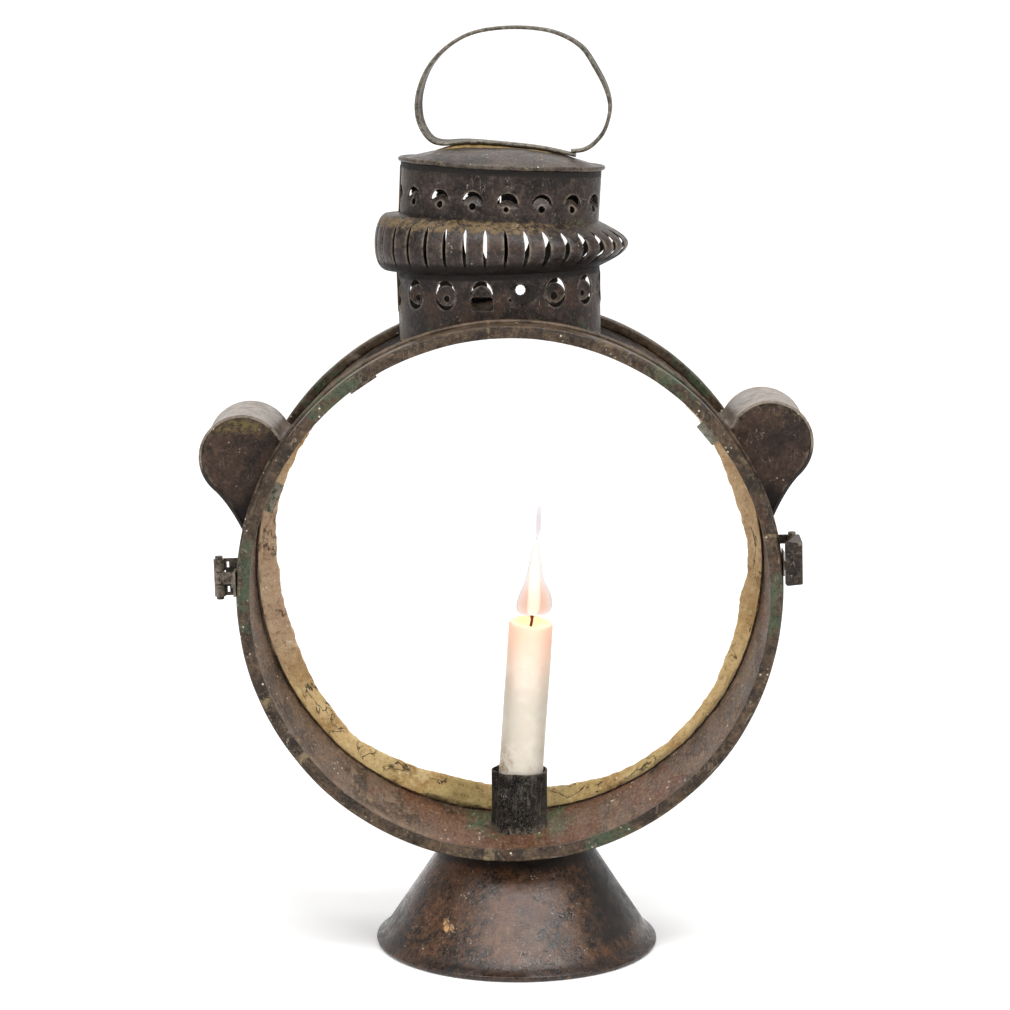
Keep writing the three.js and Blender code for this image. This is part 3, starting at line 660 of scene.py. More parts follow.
def make_drum():
    mouth = [
        (CHIMNEY_X + (CHIMNEY_HALF_WIDTH - 3) * sin(a), CHIMNEY_Y - (CHIMNEY_HALF_DEPTH - 3) * cos(a))
        for a in np.linspace(0, 2 * pi, 72, endpoint=False)
    ]
    length = 2 * pi * DRUM_RADIUS

    def unroll(x, y):
        return (DRUM_RADIUS * (acos(x / DRUM_RADIUS) + pi / 2), y)

    holes = [[unroll(x, y) for x, y in mouth]]
    for angle in (20, 25, 30, 150, 155, 160):
        for y in (-12, 1, 14):
            centre = (DRUM_RADIUS * (angle + 90) * DEGREE, y)
            holes.append(arc(centre, 2.5, 0, 345, 23))
    outline = [(x, DRUM_FRONT) for x in np.linspace(0, length, 300)]
    outline += [(x, DRUM_BACK) for x in np.linspace(length, 0, 300)]

    def bent(along, y, depth):
        angle = along / DRUM_RADIUS - pi / 2
        return hoop_point(angle, DRUM_RADIUS - depth, y)

    band = sheet_piece("drum_hoop", outline, holes, 4.5, bent, SHEET, in_body)
    paint(
        band,
        green=lambda x, y, z: (
            0.9 * near_angle(x, z, -88, 22) * between(y, -34, 0) + 0.3 * near_angle(x, z, -20, 30)
        ),
        worn=lambda x, y, z: (
            0.5 * near_angle(x, z, -88, 30) * between(-y, -10, 30) + 0.4 * between(y, 15, 33)
        ),
        rust=lambda x, y, z: 0.8 * near_angle(x, z, -85, 50) + 0.3 * near_angle(x, z, 0, 40),
        # painted highlight: a lighter band inside the front edge at the lower left, stopping short of the
        # bottom
        pale=lambda x, y, z: (
            0.75 * between(-y, 18, 32) * near_angle(x, z, -135, 55) * (1 - near_angle(x, z, -90, 26))
        ),
        soot=lambda x, y, z: 0.75 * between(z, 60, 130),
    )
    stands_for(band, "lantern", "drum", "drum_tin", "drum_band")

    profile = rounded([
        (DRUM_RADIUS + GAP, BACK_FRONT), (BACK_RADIUS, BACK_FRONT, 1.2), (BACK_RADIUS, BACK_FACE, 1.2),
        (BACK_RADIUS - BACK_FLANGE, BACK_FACE), (BACK_RADIUS - BACK_FLANGE, BACK_FACE - SHEET),
        (DRUM_RADIUS + GAP, BACK_FACE - SHEET),
    ], 0.3)
    back = turned("back_hoop", profile, RING_SIDES, hoop_point, in_body)
    paint(
        back,
        green=lambda x, y, z: max(near_angle(x, z, 135, 12), near_angle(x, z, 45, 9)),
        # painted highlight on the outer face at the upper left
        pale=lambda x, y, z: 0.5 * near_angle(x, z, 110, 30) * between(hypot(x, z), 134, 136),
        worn=lambda x, y, z: 0.4 * near_angle(x, z, 60, 16),
    )
    stands_for(back, "lantern", "ring", "ring_tin", "back_ring")


# How far in the putty reaches, as a radius, at angles in degrees round the drum from the right.
PUTTY_REACH = [
    (-180, 119.8), (-168, 117.8), (-155, 118.4), (-145, 120.2), (-131, 122.2), (-120, 119.6), (-108, 117.3),
    (-92, 118.4), (-77, 121.9), (-64, 125.2), (-52, 126.2), (-36, 124.8), (-18, 122.3), (-9, 120.8),
    (-4, 123.8), (5, 123.4), (15, 121.0), (30, 122.0), (60, 123.4), (90, 123.0), (120, 122.6),
    (150, 123.4), (168, 122.8),
]


def make_putty():
    angles = [angle for angle, _ in PUTTY_REACH]
    reaches = [reach for _, reach in PUTTY_REACH]

    def putty_point(angle, share, level):
        """Share runs from the wall to the inner edge, and level from the pane to the surface."""
        turn = (angle / DEGREE + 180) % 360 - 180
        inner = float(np.interp(turn, angles, reaches, period=360))
        inner += 0.8 * hoop(angle, 7, seed=4)
        inner += 0.6 * hoop(angle, 26, seed=5)
        inner += 0.3 * hoop(angle, 70, seed=52)
        wall = DRUM_RADIUS - SHEET - GAP
        radius = wall + (inner - wall) * share
        crest = GLASS_BACK - 2.4 - 6.2 * (1 - share) ** 0.85
        crest += 1.1 * hoop(angle, 11, share * 2.5, seed=6) * (1 - share)
        crest += 0.9 * hoop(angle, 38, share * 6, seed=7) * (1 - share * 0.6)
        if share in (0.0, 1.0):
            level = min(level, 0.75)
        y = GLASS_BACK + (crest - GLASS_BACK) * level
        radius += dent(angle)
        return (radius * cos(angle), y, radius * sin(angle))

    shares = [0.0, 0.12, 0.25, 0.4, 0.55, 0.7, 0.82, 0.91, 0.97, 1.0]
    profile = [(share, 1.0) for share in shares]
    profile += [(1.0, 0.3), (1.0, 0.0), (0.5, 0.0), (0.0, 0.0), (0.0, 0.4)]
    bead = turned("putty_bead", profile, 540, putty_point, in_body, sharp=60)
    paint(
        bead,
        pale=lambda x, y, z: max(near_angle(x, z, 178, 34), 0.6 * near_angle(x, z, 25, 45)),
        green=lambda x, y, z: near_angle(x, z, -90, 50),
        soot=lambda x, y, z: between(hypot(x, z), 127.6, 130.2) * max(
            0.1, 0.8 * near_angle(x, z, -50, 40), 0.8 * near_angle(x, z, -103, 12),
        ),
    )
    stands_for(bead, "lantern", "putty", "putty", "back_putty")


# ---- Foot ----
def make_foot():
    sides, rows = 240, 26
    wall_at_floor = FOOT_RADIUS + 1.2
    drum_in_foot = in_foot.inverted() @ drum_centre

    def cone_point(angle, z, inset):
        radius = wall_at_floor - FOOT_TAPER * z - inset
        radius += 0.25 * hoop(angle, 3, z * 0.03, seed=8)
        ratio = 1 - FOOT_SQUASH * z / LEAN_HEIGHT
        return Vector((radius * cos(angle), radius * ratio * sin(angle), z))

    def top_height(angle, inset):
        low, high = 40.0, 72.0
        for _ in range(24):
            z = (low + high) / 2
            spot = cone_point(angle, z, inset) - drum_in_foot
            if hypot(spot.x, spot.z) > DRUM_RADIUS + GAP:
                low = z
            else:
                high = z
        return low

    roll_top = FOOT_ROLL * 2 + 0.9
    section = arc((FOOT_RADIUS, FOOT_ROLL), FOOT_ROLL, 150, 405, 14)
    points = []
    for i in range(sides):
        angle = 2 * pi * i / sides
        outer_top, inner_top = top_height(angle, 0.0), top_height(angle, FOOT_SHEET)
        for k in range(rows + 1):
            points.append(tuple(cone_point(angle, roll_top + (outer_top - roll_top) * (1 - k / rows), 0.0)))
        for radius, z in reversed(section):
            wobble = 0.2 * hoop(angle, 4, seed=9)
            points.append(((radius + wobble) * cos(angle), (radius + wobble) * sin(angle), max(z, 0.02)))
        for k in range(rows + 1):
            z = roll_top + (inner_top - roll_top) * k / rows
            points.append(tuple(cone_point(angle, z, FOOT_SHEET)))
    faces = grid_faces(sides, len(points) // sides, True, True)
    foot = piece("foot", points, faces, in_foot)

    def blot(x, y, z, at, size):
        return 1 - between((Vector((x, y, z)) - Vector(at)).length, size * 0.5, size)

    paint(
        foot,
        worn=lambda x, y, z: max(
            blot(x, y, z, (-34, -44, 19), 4.5), blot(x, y, z, (-36, -41, 22), 3.0),
            0.45 * between(z, 3.6, 1.5),
        ),
        rust=lambda x, y, z: 0.5 * between(-x, -12, 6) * between(z, 10, 24),
        # painted shade: the top of the foot darkens where it runs in under the drum; the other terms darken
        # the lower right, the bottom and the left edge
        soot=lambda x, y, z: max(
            0.95 * between(z, 38, 52), 0.75 * between(x, 14, 46) * between(z, 2, 16),
            0.6 * between(z, 14, 5), 0.6 * between(-x, 42, 62),
        ),
        # painted highlight: a lighter upright streak on the front of the cone
        pale=lambda x, y, z: (
            0.45 * (1 - between(abs(x + 8), 4, 12)) * between(z, 8, 14) * between(-z, -40, -28)
        ),
    )
    stands_for(foot, "lantern", "foot", "foot_tin", "foot_cone")


# ---- Chimney: one sheet, bent round an oval and pressed out into the gallery ----
OVAL_STEPS = 2000
oval_angles = np.linspace(0, 2 * pi, OVAL_STEPS + 1)
oval_slopes = np.hypot(CHIMNEY_HALF_WIDTH * np.cos(oval_angles), CHIMNEY_HALF_DEPTH * np.sin(oval_angles))
oval_strides = (oval_slopes[1:] + oval_slopes[:-1]) / 2 * 2 * pi / OVAL_STEPS
oval_lengths = np.concatenate([[0], np.cumsum(oval_strides)])
OVAL_LENGTH = float(oval_lengths[-1])
SEAM_START = -0.5 * OVAL_LENGTH  # the sheet's ends meet at the back
LAP_SEAM = -0.262 * OVAL_LENGTH  # the lap seam at the left
FRONT_HALF = OVAL_LENGTH / 4 + 6  # the vents farther round than this are torn open
GALLERY_REACH = GALLERY_HALF_WIDTH - CHIMNEY_HALF_WIDTH
RIB_PITCH = OVAL_LENGTH / RIB_COUNT
RIB_SHIFT_BEHIND = -4.0  # the slits behind stand in line with those in front
random.seed(11)
rib_jitter = [random.uniform(-1, 1) for _ in range(RIB_COUNT)]
vent_jitter = [random.uniform(-1, 1) for _ in range(LOWER_VENTS + UPPER_VENTS)]


def vent_places(count, start, height):
    return [((start + i * OVAL_LENGTH / count + OVAL_LENGTH / 2) % OVAL_LENGTH - OVAL_LENGTH / 2, height)
            for i in range(count)]


upper_vents = vent_places(UPPER_VENTS, UPPER_VENT_START, UPPER_VENT_HEIGHT)
lower_vents = vent_places(LOWER_VENTS, LOWER_VENT_START, LOWER_VENT_HEIGHT)
OPEN_LOWER, TORN_LOWER, HALF_LOWER = 0, 1, 2  # damaged lower vents, counted from the front to the right


def oval_angle(along):
    return float(np.interp(along % OVAL_LENGTH, oval_lengths, oval_angles))


def push_in(along, z):
    """How far the flaps in the vents are pushed in at a place on the sheet. Those behind are torn away."""
    depth = 0.0
    if abs(along) > FRONT_HALF:
        return depth
    for i, (x, height) in enumerate(upper_vents):
        dx, dz = along - x, z - height
        if abs(dx) < 5.2 and -2 < dz < 3.2 and hypot(dx, dz + 2.1) < 5.25:
            deeper = 2.2 if i == 0 else 1.0
            depth = (0.5 + 0.25 * vent_jitter[i]) * deeper * (dz + 2)
    for i, (x, height) in enumerate(lower_vents):
        dx, dz = along - x, z - height
        if hypot(dx, dz) < 5.2:
            depth = (1.6 + 0.5 * vent_jitter[UPPER_VENTS + i]) * (1 - (dx / 5.2) ** 2)
        elif hypot(dx / 6.8, dz / 9.2) < 1:
            depth = -0.5 * (1 - hypot(dx / 6.8, dz / 9.2)) * 3
    return depth


def chimney_point(along, z, depth):
    angle = oval_angle(along)
    share = max(0.0, min(1.0, (z - GALLERY_BOTTOM) / (GALLERY_TOP - GALLERY_BOTTOM)))
    swell = max(0.0, sin(pi * share))
    squareness = 0.62 + 0.34 * sin(angle)
    rib = (along - RIB_START) / RIB_PITCH
    across = abs(rib - floor(rib) - 0.5) * 2
    reach = GALLERY_REACH * swell ** squareness
    reach += swell * (0.5 * rib_jitter[floor(rib) % RIB_COUNT] - 0.55 * across ** 2)
    width = CHIMNEY_HALF_WIDTH + (TOP_HALF_WIDTH - CHIMNEY_HALF_WIDTH) * share + reach
    ratio = CHIMNEY_HALF_DEPTH / CHIMNEY_HALF_WIDTH
    out = Vector((CHIMNEY_HALF_DEPTH * sin(angle), -CHIMNEY_HALF_WIDTH * cos(angle))).normalized()
    inward = depth + push_in(along, z)
    inward -= 0.3 * hoop(angle, 2.4, z * 0.03, seed=12) * (1 - swell)
    lap = 1 - between(abs(along - LAP_SEAM), 2.2, 2.8)
    inward -= 0.55 * lap * (1 - swell)
    x = width * sin(angle) - out.x * inward
    y = -width * ratio * cos(angle) - out.y * inward
    tilt = TOP_TILT * share
    rise = z - TIP_HEIGHT
    return (
        CHIMNEY_X + x * cos(tilt) + rise * sin(tilt) + GALLERY_SHIFT * swell,
        CHIMNEY_Y + y,
        TIP_HEIGHT - x * sin(tilt) + rise * cos(tilt),
    )


def crescent(centre, outer, inner, offset):
    """A crescent: inside an oval (half width, half height) and beyond a disc set lower by `offset`."""
    (half_width, half_height), (cx, cz) = outer, centre
    sign = 1 if offset >= 0 else -1
    drop = abs(offset)
    best = 0.0
    for angle in np.linspace(0, 90, 181) * DEGREE:  # where the disc's edge leaves the oval
        x, z = half_width * cos(angle), half_height * sin(angle)
        if hypot(x, z + drop) < inner + 0.05:
            best = angle
    steps = 10
    top = [(half_width * cos(a), half_height * sin(a)) for a in np.linspace(best, pi - best, steps * 2)]
    edge_x, edge_z = top[-1]
    end = atan2(edge_z + drop, -edge_x)
    low = [(inner * cos(a), inner * sin(a) - drop) for a in np.linspace(pi - end, end, steps * 2)]
    return [(cx + x, cz + sign * z) for x, z in top + low[1:-1]]


def make_chimney():
    drum_edge = DRUM_RADIUS + GAP
    holes = []

    def torn_open(x, z, half_width, half_height):
        ring = []
        for k in range(40):
            ragged = 1 + 0.07 * sin(k * 1.7 + x) + 0.04 * sin(k * 4.1)
            angle = 2 * pi * k / 40
            ring.append((x + half_width * ragged * cos(angle), z + half_height * ragged * sin(angle)))
        return ring

    for i, (x, z) in enumerate(upper_vents):
        if abs(x) > FRONT_HALF:
            holes.append(torn_open(x, z - 1.1, 4.3, 3.4))
            continue
        drop = 3.4 if i == 0 else 2.1 + 0.3 * vent_jitter[i]
        holes.append(crescent((x, z), (5.1, 5.0), 5.0, drop))
        holes.append(disc((x, z - 2.3), 1.75) if i else disc((x - 0.6, z - 2.9), 1.3))
    for i, (x, z) in enumerate(lower_vents):
        if abs(x) > FRONT_HALF:
            holes.append(torn_open(x, z - 1.2, 5.8, 6.4))
            continue
        if i == OPEN_LOWER:
            holes.append(crescent((x, z), (5.4, 7.4), 5.0, 0.0))
            opening = ((-5.6, -7.2), (5.6, -7.2), (5.3, -0.8), (-5.3, -0.4))
            holes.append(rounded([(x + dx, z + dz) for dx, dz in opening], 1.4))
        elif i == TORN_LOWER:
            star = []
            for k in range(36):
                size = 2.5 + 0.12 * sin(k * 1.9)
                star.append((x + 0.6 + size * cos(k * 10 * DEGREE), z + 2.4 + size * sin(k * 10 * DEGREE)))
            holes.append(star)
            holes.append(rounded([(x - 6.2, z - 2.5), (x - 4.6, z - 1.2), (x - 3.8, z - 3.4)], 0.4))
        else:
            holes.append(crescent((x, z), (5.4, 7.6), 5.1, 0.0))
            holes.append([(2 * x - px, 2 * z - pz) for px, pz in crescent((x, z), (5.4, 7.0), 5.1, 0.0)])
            size = 2.1 if i == HALF_LOWER else 1.7
            holes.append(disc((x, z - 1.4), size))
    holes.append(torn_open(OVAL_LENGTH / 2 - 10.6, LOWER_VENT_HEIGHT - 4.5, 3.2, 3.6))
    for i in range(RIB_COUNT):
        x = (RIB_START + i * RIB_PITCH - SEAM_START) % OVAL_LENGTH + SEAM_START
        if min(x - SEAM_START, SEAM_START + OVAL_LENGTH - x) < 2:
            continue
        angle = oval_angle(x)
        side, behind = sin(angle), max(0.0, -cos(angle))
        x += RIB_SHIFT_BEHIND * between(behind, 0.1, 0.5)
        crushed = 0.72 + 0.9 * max(0.0, side) + 0.9 * behind * between(side, -0.55, -0.2)
        crushed += 0.12 * rib_jitter[i]
        slit = []
        steps = 14
        low, high = GALLERY_BOTTOM + 3.0 - 2.2 * behind, GALLERY_TOP - 3.4
        for k in range(steps + 1):
            share = (low + (high - low) * k / steps - GALLERY_BOTTOM) / (GALLERY_TOP - GALLERY_BOTTOM)
            swell = sin(pi * share) ** (0.62 + 0.34 * side)
            growth = GALLERY_REACH * swell / (CHIMNEY_HALF_WIDTH + GALLERY_REACH * swell)
            taper = min(1.0, k / 1.5, (steps - k) / 1.5)
            slit.append((taper * (0.1 + 0.5 * RIB_PITCH * growth * crushed), low + (high - low) * k / steps))
        left_side = [(x - half, z) for half, z in slit]
        holes.append(left_side + [(x + half, z) for half, z in reversed(slit[1:-1])])

    count = 280
    alongs = np.linspace(SEAM_START, SEAM_START + OVAL_LENGTH, count)
    bottom = []
    for along in alongs:
        angle = oval_angle(along)
        x = CHIMNEY_X + CHIMNEY_HALF_WIDTH * sin(angle)
        bottom.append((along, sqrt(drum_edge ** 2 - x * x)))
    outline = bottom + [(along, CHIMNEY_TOP) for along in alongs[::-1]]
    made = sheet_piece("chimney_wall", outline, holes, 0.95, chimney_point, CHIMNEY_SHEET, in_body)

    paint(
        made,
        worn=lambda x, y, z: max(
            between(abs(z - GALLERY_TOP + 2.6 + 0.05 * x), 4.8, 1.6) * (1 - 0.55 * between(x, 5, 40)),
            0.85 * between(abs(z - TIP_HEIGHT), 15, 17) * between(-x, 47.6, 49.2) * between(-y, -14, -2),
            0.4 * between(z, 137, 131),
        ),
        green=lambda x, y, z: max(
            0.7 * between(abs(z - GALLERY_TOP + 2), 6, 2) * between(x, 0, 40), 0.6 * between(z, 140, 132),
            0.6 * (1 - between(hypot(x + 14, z - LOWER_VENT_HEIGHT), 4, 9)),
        ),
        rust=lambda x, y, z: 0.4 * between(z, 152, 146),
        # the first term darkens round a front vent; the second is painted shade under the gallery's swell,
        # the third a painted shadow line just under the cap
        soot=lambda x, y, z: max(
            0.8 * (1 - between(hypot(x - 11, z - LOWER_VENT_HEIGHT - 1), 4, 8)) * between(-y, 0, 10),
            between(z - GALLERY_BOTTOM, -5, -1) * between(GALLERY_BOTTOM - z, -9, -3),
            between(z + 0.073 * x, CHIMNEY_TOP - 4.5, CHIMNEY_TOP - 1.5),
        ),
        # painted highlight: a lighter band round the middle of the gallery
        pale=lambda x, y, z: 0.5 * between(abs(z - TIP_HEIGHT - 1.5 + 0.06 * x), 3.0, 0.8),
    )
    stands_for(made, "lantern", "chimney", "chimney_tin", "chimney")

    def proud_point(along, z, depth):
        return chimney_point(along, z, depth - 0.35)

    left, right = LAP_SEAM - 1.4, LAP_SEAM + 1.8
    seams = (("seam_lower", 136.0, GALLERY_BOTTOM), ("seam_upper", GALLERY_TOP, CHIMNEY_TOP - 2))
    for name, low, high in seams:
        outline = rounded([(left, low), (right, low), (right, high), (left, high)], 0.5)
        strip = sheet_piece(name, outline, [], 1.2, proud_point, 0.5, in_body)
        stands_for(strip, "lantern", "solder", "chimney_tin")


# ---- Cap and handle ----
def cap_height(share):
    return CAP_RISE * (1 - share ** 2.2)


def make_cap():
    edge = CAP_HALF_WIDTH - CAP_EDGE
    ratio = (CHIMNEY_HALF_DEPTH + 2) / CAP_HALF_WIDTH
    shares = [0.0, 0.04, 0.1, 0.2, 0.3, 0.4, 0.5, 0.6, 0.7, 0.78, 0.85, 0.9, 0.94, 0.965]
    dome = [(edge * share, 0.3 + SHEET + cap_height(share)) for share in shares]
    bead = arc((edge, 0.3 + CAP_EDGE), CAP_EDGE, 115, -180, 12)
    under = [(edge * share, 0.3 + cap_height(share)) for share in reversed(shares)]

    def cap_point(angle, radius, z):
        share = radius / edge
        dents = 0.5 * hoop(angle, radius * 0.05, seed=14) * (1 - share)
        rim = 0.3 * hoop(angle, 2.5, seed=15) * share
        return (radius * cos(angle), radius * ratio * sin(angle), z + dents + rim)

    cap = turned("cap_dome", dome + bead + under, 192, cap_point, in_top)
    paint(
        cap,
        # the strip on the left is wear; the line along the rim's edge is a painted highlight
        worn=lambda x, y, z: max(
            0.6 * between(abs(y), 9, 5) * between(-x, 10, 30), 0.5 * between(hypot(x, y / ratio), 49.6, 50.3),
        ),
        # the right side is made darker, and the underside of the rim is painted shade
        soot=lambda x, y, z: max(0.3 * between(x, 10, 40), 0.9 * between(z, 0.5, -0.4)),
    )
    stands_for(cap, "lantern", "cap", "cap_tin", "cap")


def cap_below(x, y):
    return cap_height(min(0.97, hypot(x, y * 1.28) / 50.1))


HANDLE_ROUTE = [
    (36.5, 6.9), (33, 7.6), (18, 10), (-2, 11.2), (-17, 11.4), (-30, 10.2),
    (-36.5, 13), (-41.3, 21.5), (-42, 33), (-38, 46), (-30, 56.3), (-18.5, 63.8), (-4, 67.3), (12, 68),
    (25, 66), (36.5, 60.2), (44, 50.6), (50, 40), (52.2, 30.5), (50, 20), (45, 13), (40, 9.8), (34, 8.8),
]


def smooth_route(route, steps):
    """Points evenly spread along a Catmull-Rom curve through the route."""
    spots = [Vector(spot) for spot in route]
    spots = [2 * spots[0] - spots[1], *spots, 2 * spots[-1] - spots[-2]]
    dense = []
    for a, b, c, d in zip(spots, spots[1:], spots[2:], spots[3:]):
        for k in range(16):
            t = k / 16
            dense.append(0.5 * (2 * b + (c - a) * t + (2 * a - 5 * b + 4 * c - d) * t ** 2
                                + (3 * b - a - 3 * c + d) * t ** 3))
    dense.append(spots[-2])
    lengths = np.concatenate([[0], np.cumsum([(q - p).length for p, q in zip(dense, dense[1:])])])
    wanted = np.linspace(0, lengths[-1], steps)
    return np.column_stack([np.interp(wanted, lengths, [p[i] for p in dense]) for i in (0, 1)])


def make_handle():
    steps = 220
    route = smooth_route(HANDLE_ROUTE, steps)
    half, thick = HANDLE_WIDTH / 2, HANDLE_THICKNESS / 2
    hem = arc((half - thick, 0), thick, -90, 90, 8)
    section = hem + [(half - 2.2, thick * 0.62)] + [(-(half - 2.2), thick * 0.62)]
    section += [(-x, -z) for x, z in hem] + [(-(half - 2.2), -thick * 0.62), (half - 2.2, -thick * 0.62)]
    points = []
    for i in range(steps):
        here = route[i]
        along = Vector(route[min(i + 1, steps - 1)] - route[max(i - 1, 0)]).normalized()
        share = i / (steps - 1)
        twist = -17 * DEGREE * exp(-((share - 0.33) / 0.1) ** 2)
        twist += 9 * DEGREE * exp(-((share - 0.8) / 0.09) ** 2)
        sideways = 0.5 * waves(share * 7, seed=16)
        for across, out in section:
            y = across * cos(twist) - out * sin(twist) + sideways
            lift = across * sin(twist) + out * cos(twist)
            points.append((here[0] - along.y * lift, y, here[1] + along.x * lift))
    handle = piece("handle_strip", points, tube_faces(steps, len(section)), in_top)
    paint(
        handle,
        worn=lambda x, y, z: 0.6 * between(z, 14, 9),
        soot=lambda x, y, z: 0.35 * between(x, 20, 40) * between(z, 20, 12),
    )
    stands_for(handle, "lantern", "handle", "grey_tin", "handle_loop")

    seams = [(-33, 12, 5.2, "solder_left"), (-4, 35, 4.2, "solder_right")]
    for start, end, half_width, name in seams:
        points = []
        rows, columns = 48, 20
        for i in range(rows):
            share = i / (rows - 1)
            x = start + (end - start) * share
            strap = float(np.interp(x, [-33, -17, -2, 18, 33], [9.6, 11.4, 11.2, 10, 7.6])) - thick - 0.05
            spread = half_width * sin(pi * min(1, 0.04 + share * 0.96)) ** 0.4
            for j in range(columns):
                angle = pi * j / (columns - 1)
                across = cos(angle)
                y = across * spread * (1 + 0.2 * waves(x * 0.25, across, seed=17))
                bottom = 0.4 + SHEET + cap_below(x, y)
                fill = (1 - abs(across) ** 3) * min(1, 4 * share, 5 * (1 - share))
                crest = bottom + (strap - bottom) * fill
                points.append((x, y, max(bottom - 0.2, crest + 0.15 * waves(x * 0.6, y * 0.6, seed=18))))
        base = len(points)
        points += [(x, y, min(z, 0.5 + cap_below(x, y))) for x, y, z in points]
        faces = grid_faces(rows, columns, False, False)
        faces += [tuple(base + i for i in reversed(face)) for face in faces]
        rim = [*range(columns)] + [i * columns + columns - 1 for i in range(1, rows)]
        rim += [(rows - 1) * columns + j for j in range(columns - 2, -1, -1)]
        rim += [i * columns for i in range(rows - 2, 0, -1)]
        for a, b in zip(rim, rim[1:] + rim[:1]):
            faces.append((b, a, a + base, b + base))
        solder = piece(name, points, faces, in_top, sharp=70)
        stands_for(solder, "lantern", "solder", "grey_tin")


# ---- Ear boxes ----
def ear_outline(inset, steps=48):
    """The ear's outline in the drum's XZ plane, from its upper joint with the drum to its lower one."""
    centre = polar(EAR_DISTANCE, EAR_ANGLE)
    radius = EAR_RADIUS - inset
    start, end = EAR_ANGLE / DEGREE + 125, EAR_ANGLE / DEGREE - 78
    spots = arc(centre, radius, start, end, steps)
    lift = EAR_ANGLE + 8 * DEGREE
    first = (Vector(polar(DRUM_RADIUS - 14, lift)), Vector(spots[0]))
    lead = [tuple(first[0].lerp(first[1], k / 12)) for k in range(12)]
    pull = EAR_TAIL + 5.5 * DEGREE
    pulled = Vector(polar(DRUM_RADIUS + 9.5 - inset, pull))
    foot = Vector(polar(DRUM_RADIUS - inset, EAR_TAIL))
    tail = curve(Vector(spots[-1]), pulled, foot, 16)[1:]
    return [spot for spot in lead + spots + tail if hypot(*spot) > DRUM_RADIUS + GAP]


def make_ear(side, flip):
    bareness, darkness, front_soot = (0.95, 0.15, 0.35) if side == "left" else (0.6, 0.5, 0.0)
    outline = ear_outline(0.0)
    lengths, place_at = follow(outline, 0.5)

    def strip_point(along, y, depth):
        (x, z), way = place_at(along)
        hems = between(-y, -EAR_FRONT - 2.6, -EAR_FRONT - 1.2) + between(y, EAR_BACK - 2.6, EAR_BACK - 1.2)
        inward = depth - 0.25 * hems * (1 if depth == 0 else -0.3)
        inward += 0.25 * waves(along * 0.06, y * 0.05, seed=20)
        return (flip * (x + way.y * inward), y, z - way.x * inward)

    strip_outline = [(along, EAR_FRONT) for along in lengths] + [(along, EAR_BACK) for along in lengths[::-1]]
    strip = sheet_piece(f"ear_{side}_strip", strip_outline, [], 2.2, strip_point, SHEET, in_body)
    paint(
        strip,
        worn=lambda x, y, z: 0.3 * between(z, 60, 40),
        # painted shade: the lower part of the strip is darker; the left ear's strip is also darker towards
        # its front
        soot=lambda x, y, z: max(0.9 * between(z, 76, 60), front_soot * between(-y, 15, 26)),
        # painted highlight: the top of the strip is lighter
        pale=lambda x, y, z: 0.8 * between(z, 80, 90),
    )
    stands_for(strip, "lantern", "ear_strip", "ear_strip_tin", f"ear_{side}_wall")

    centre = Vector(polar(EAR_DISTANCE, EAR_ANGLE))
    inner = ear_outline(SHEET + GAP)
    low, high = [atan2(z, x) for x, z in (inner[-1], inner[0])]
    plate_outline = inner + [polar(DRUM_RADIUS + 0.4, a) for a in np.linspace(low, high, 16)[1:-1]]
    vents = [tuple(centre)]
    vents += [(centre.x + x, centre.y + y) for x, y in (polar(8, k * 72 * DEGREE) for k in range(1, 6))]
    for where, level, holes in (
        ("front", EAR_FRONT + PLATE_RECESS, []),
        ("back", EAR_BACK - PLATE_RECESS - SHEET, [disc(vent, 2) for vent in vents]),
    ):
        def plate_point(x, z, depth):
            swell = 0.5 * waves(x * 0.09, z * 0.09, seed=21 + flip) + 0.15 * waves(x * 0.3, z * 0.3, seed=23)
            away = abs((Vector((x, z)) - centre).length - (EAR_RADIUS - 3.2))
            bead = 0.3 * (1 - between(away, 0.5, 1.6)) * between(z, 52, 60)
            return (flip * x, level + depth + swell - bead, z)

        made = sheet_piece(f"ear_{side}_{where}", plate_outline, holes, 1.3, plate_point, SHEET, in_body)
        paint(
            made,
            worn=lambda x, y, z: bareness * between(z, 76, 84) + 0.3 * between(z, 50, 40),
            green=lambda x, y, z: 0.5 * between(z, 70, 84),
            # painted shade low down where the plate meets the drum; darkness darkens round the plate's middle
            soot=lambda x, y, z: (
                0.75 * between(z, 62, 45) * between(hypot(x, z), 150, 138)
                + darkness * between(hypot(x - flip * centre.x, z - centre.y), 16, 6)
            ),
        )
        stands_for(made, "lantern", "ear_plate", "ear_plate_tin", f"ear_{side}_{where}_plate")


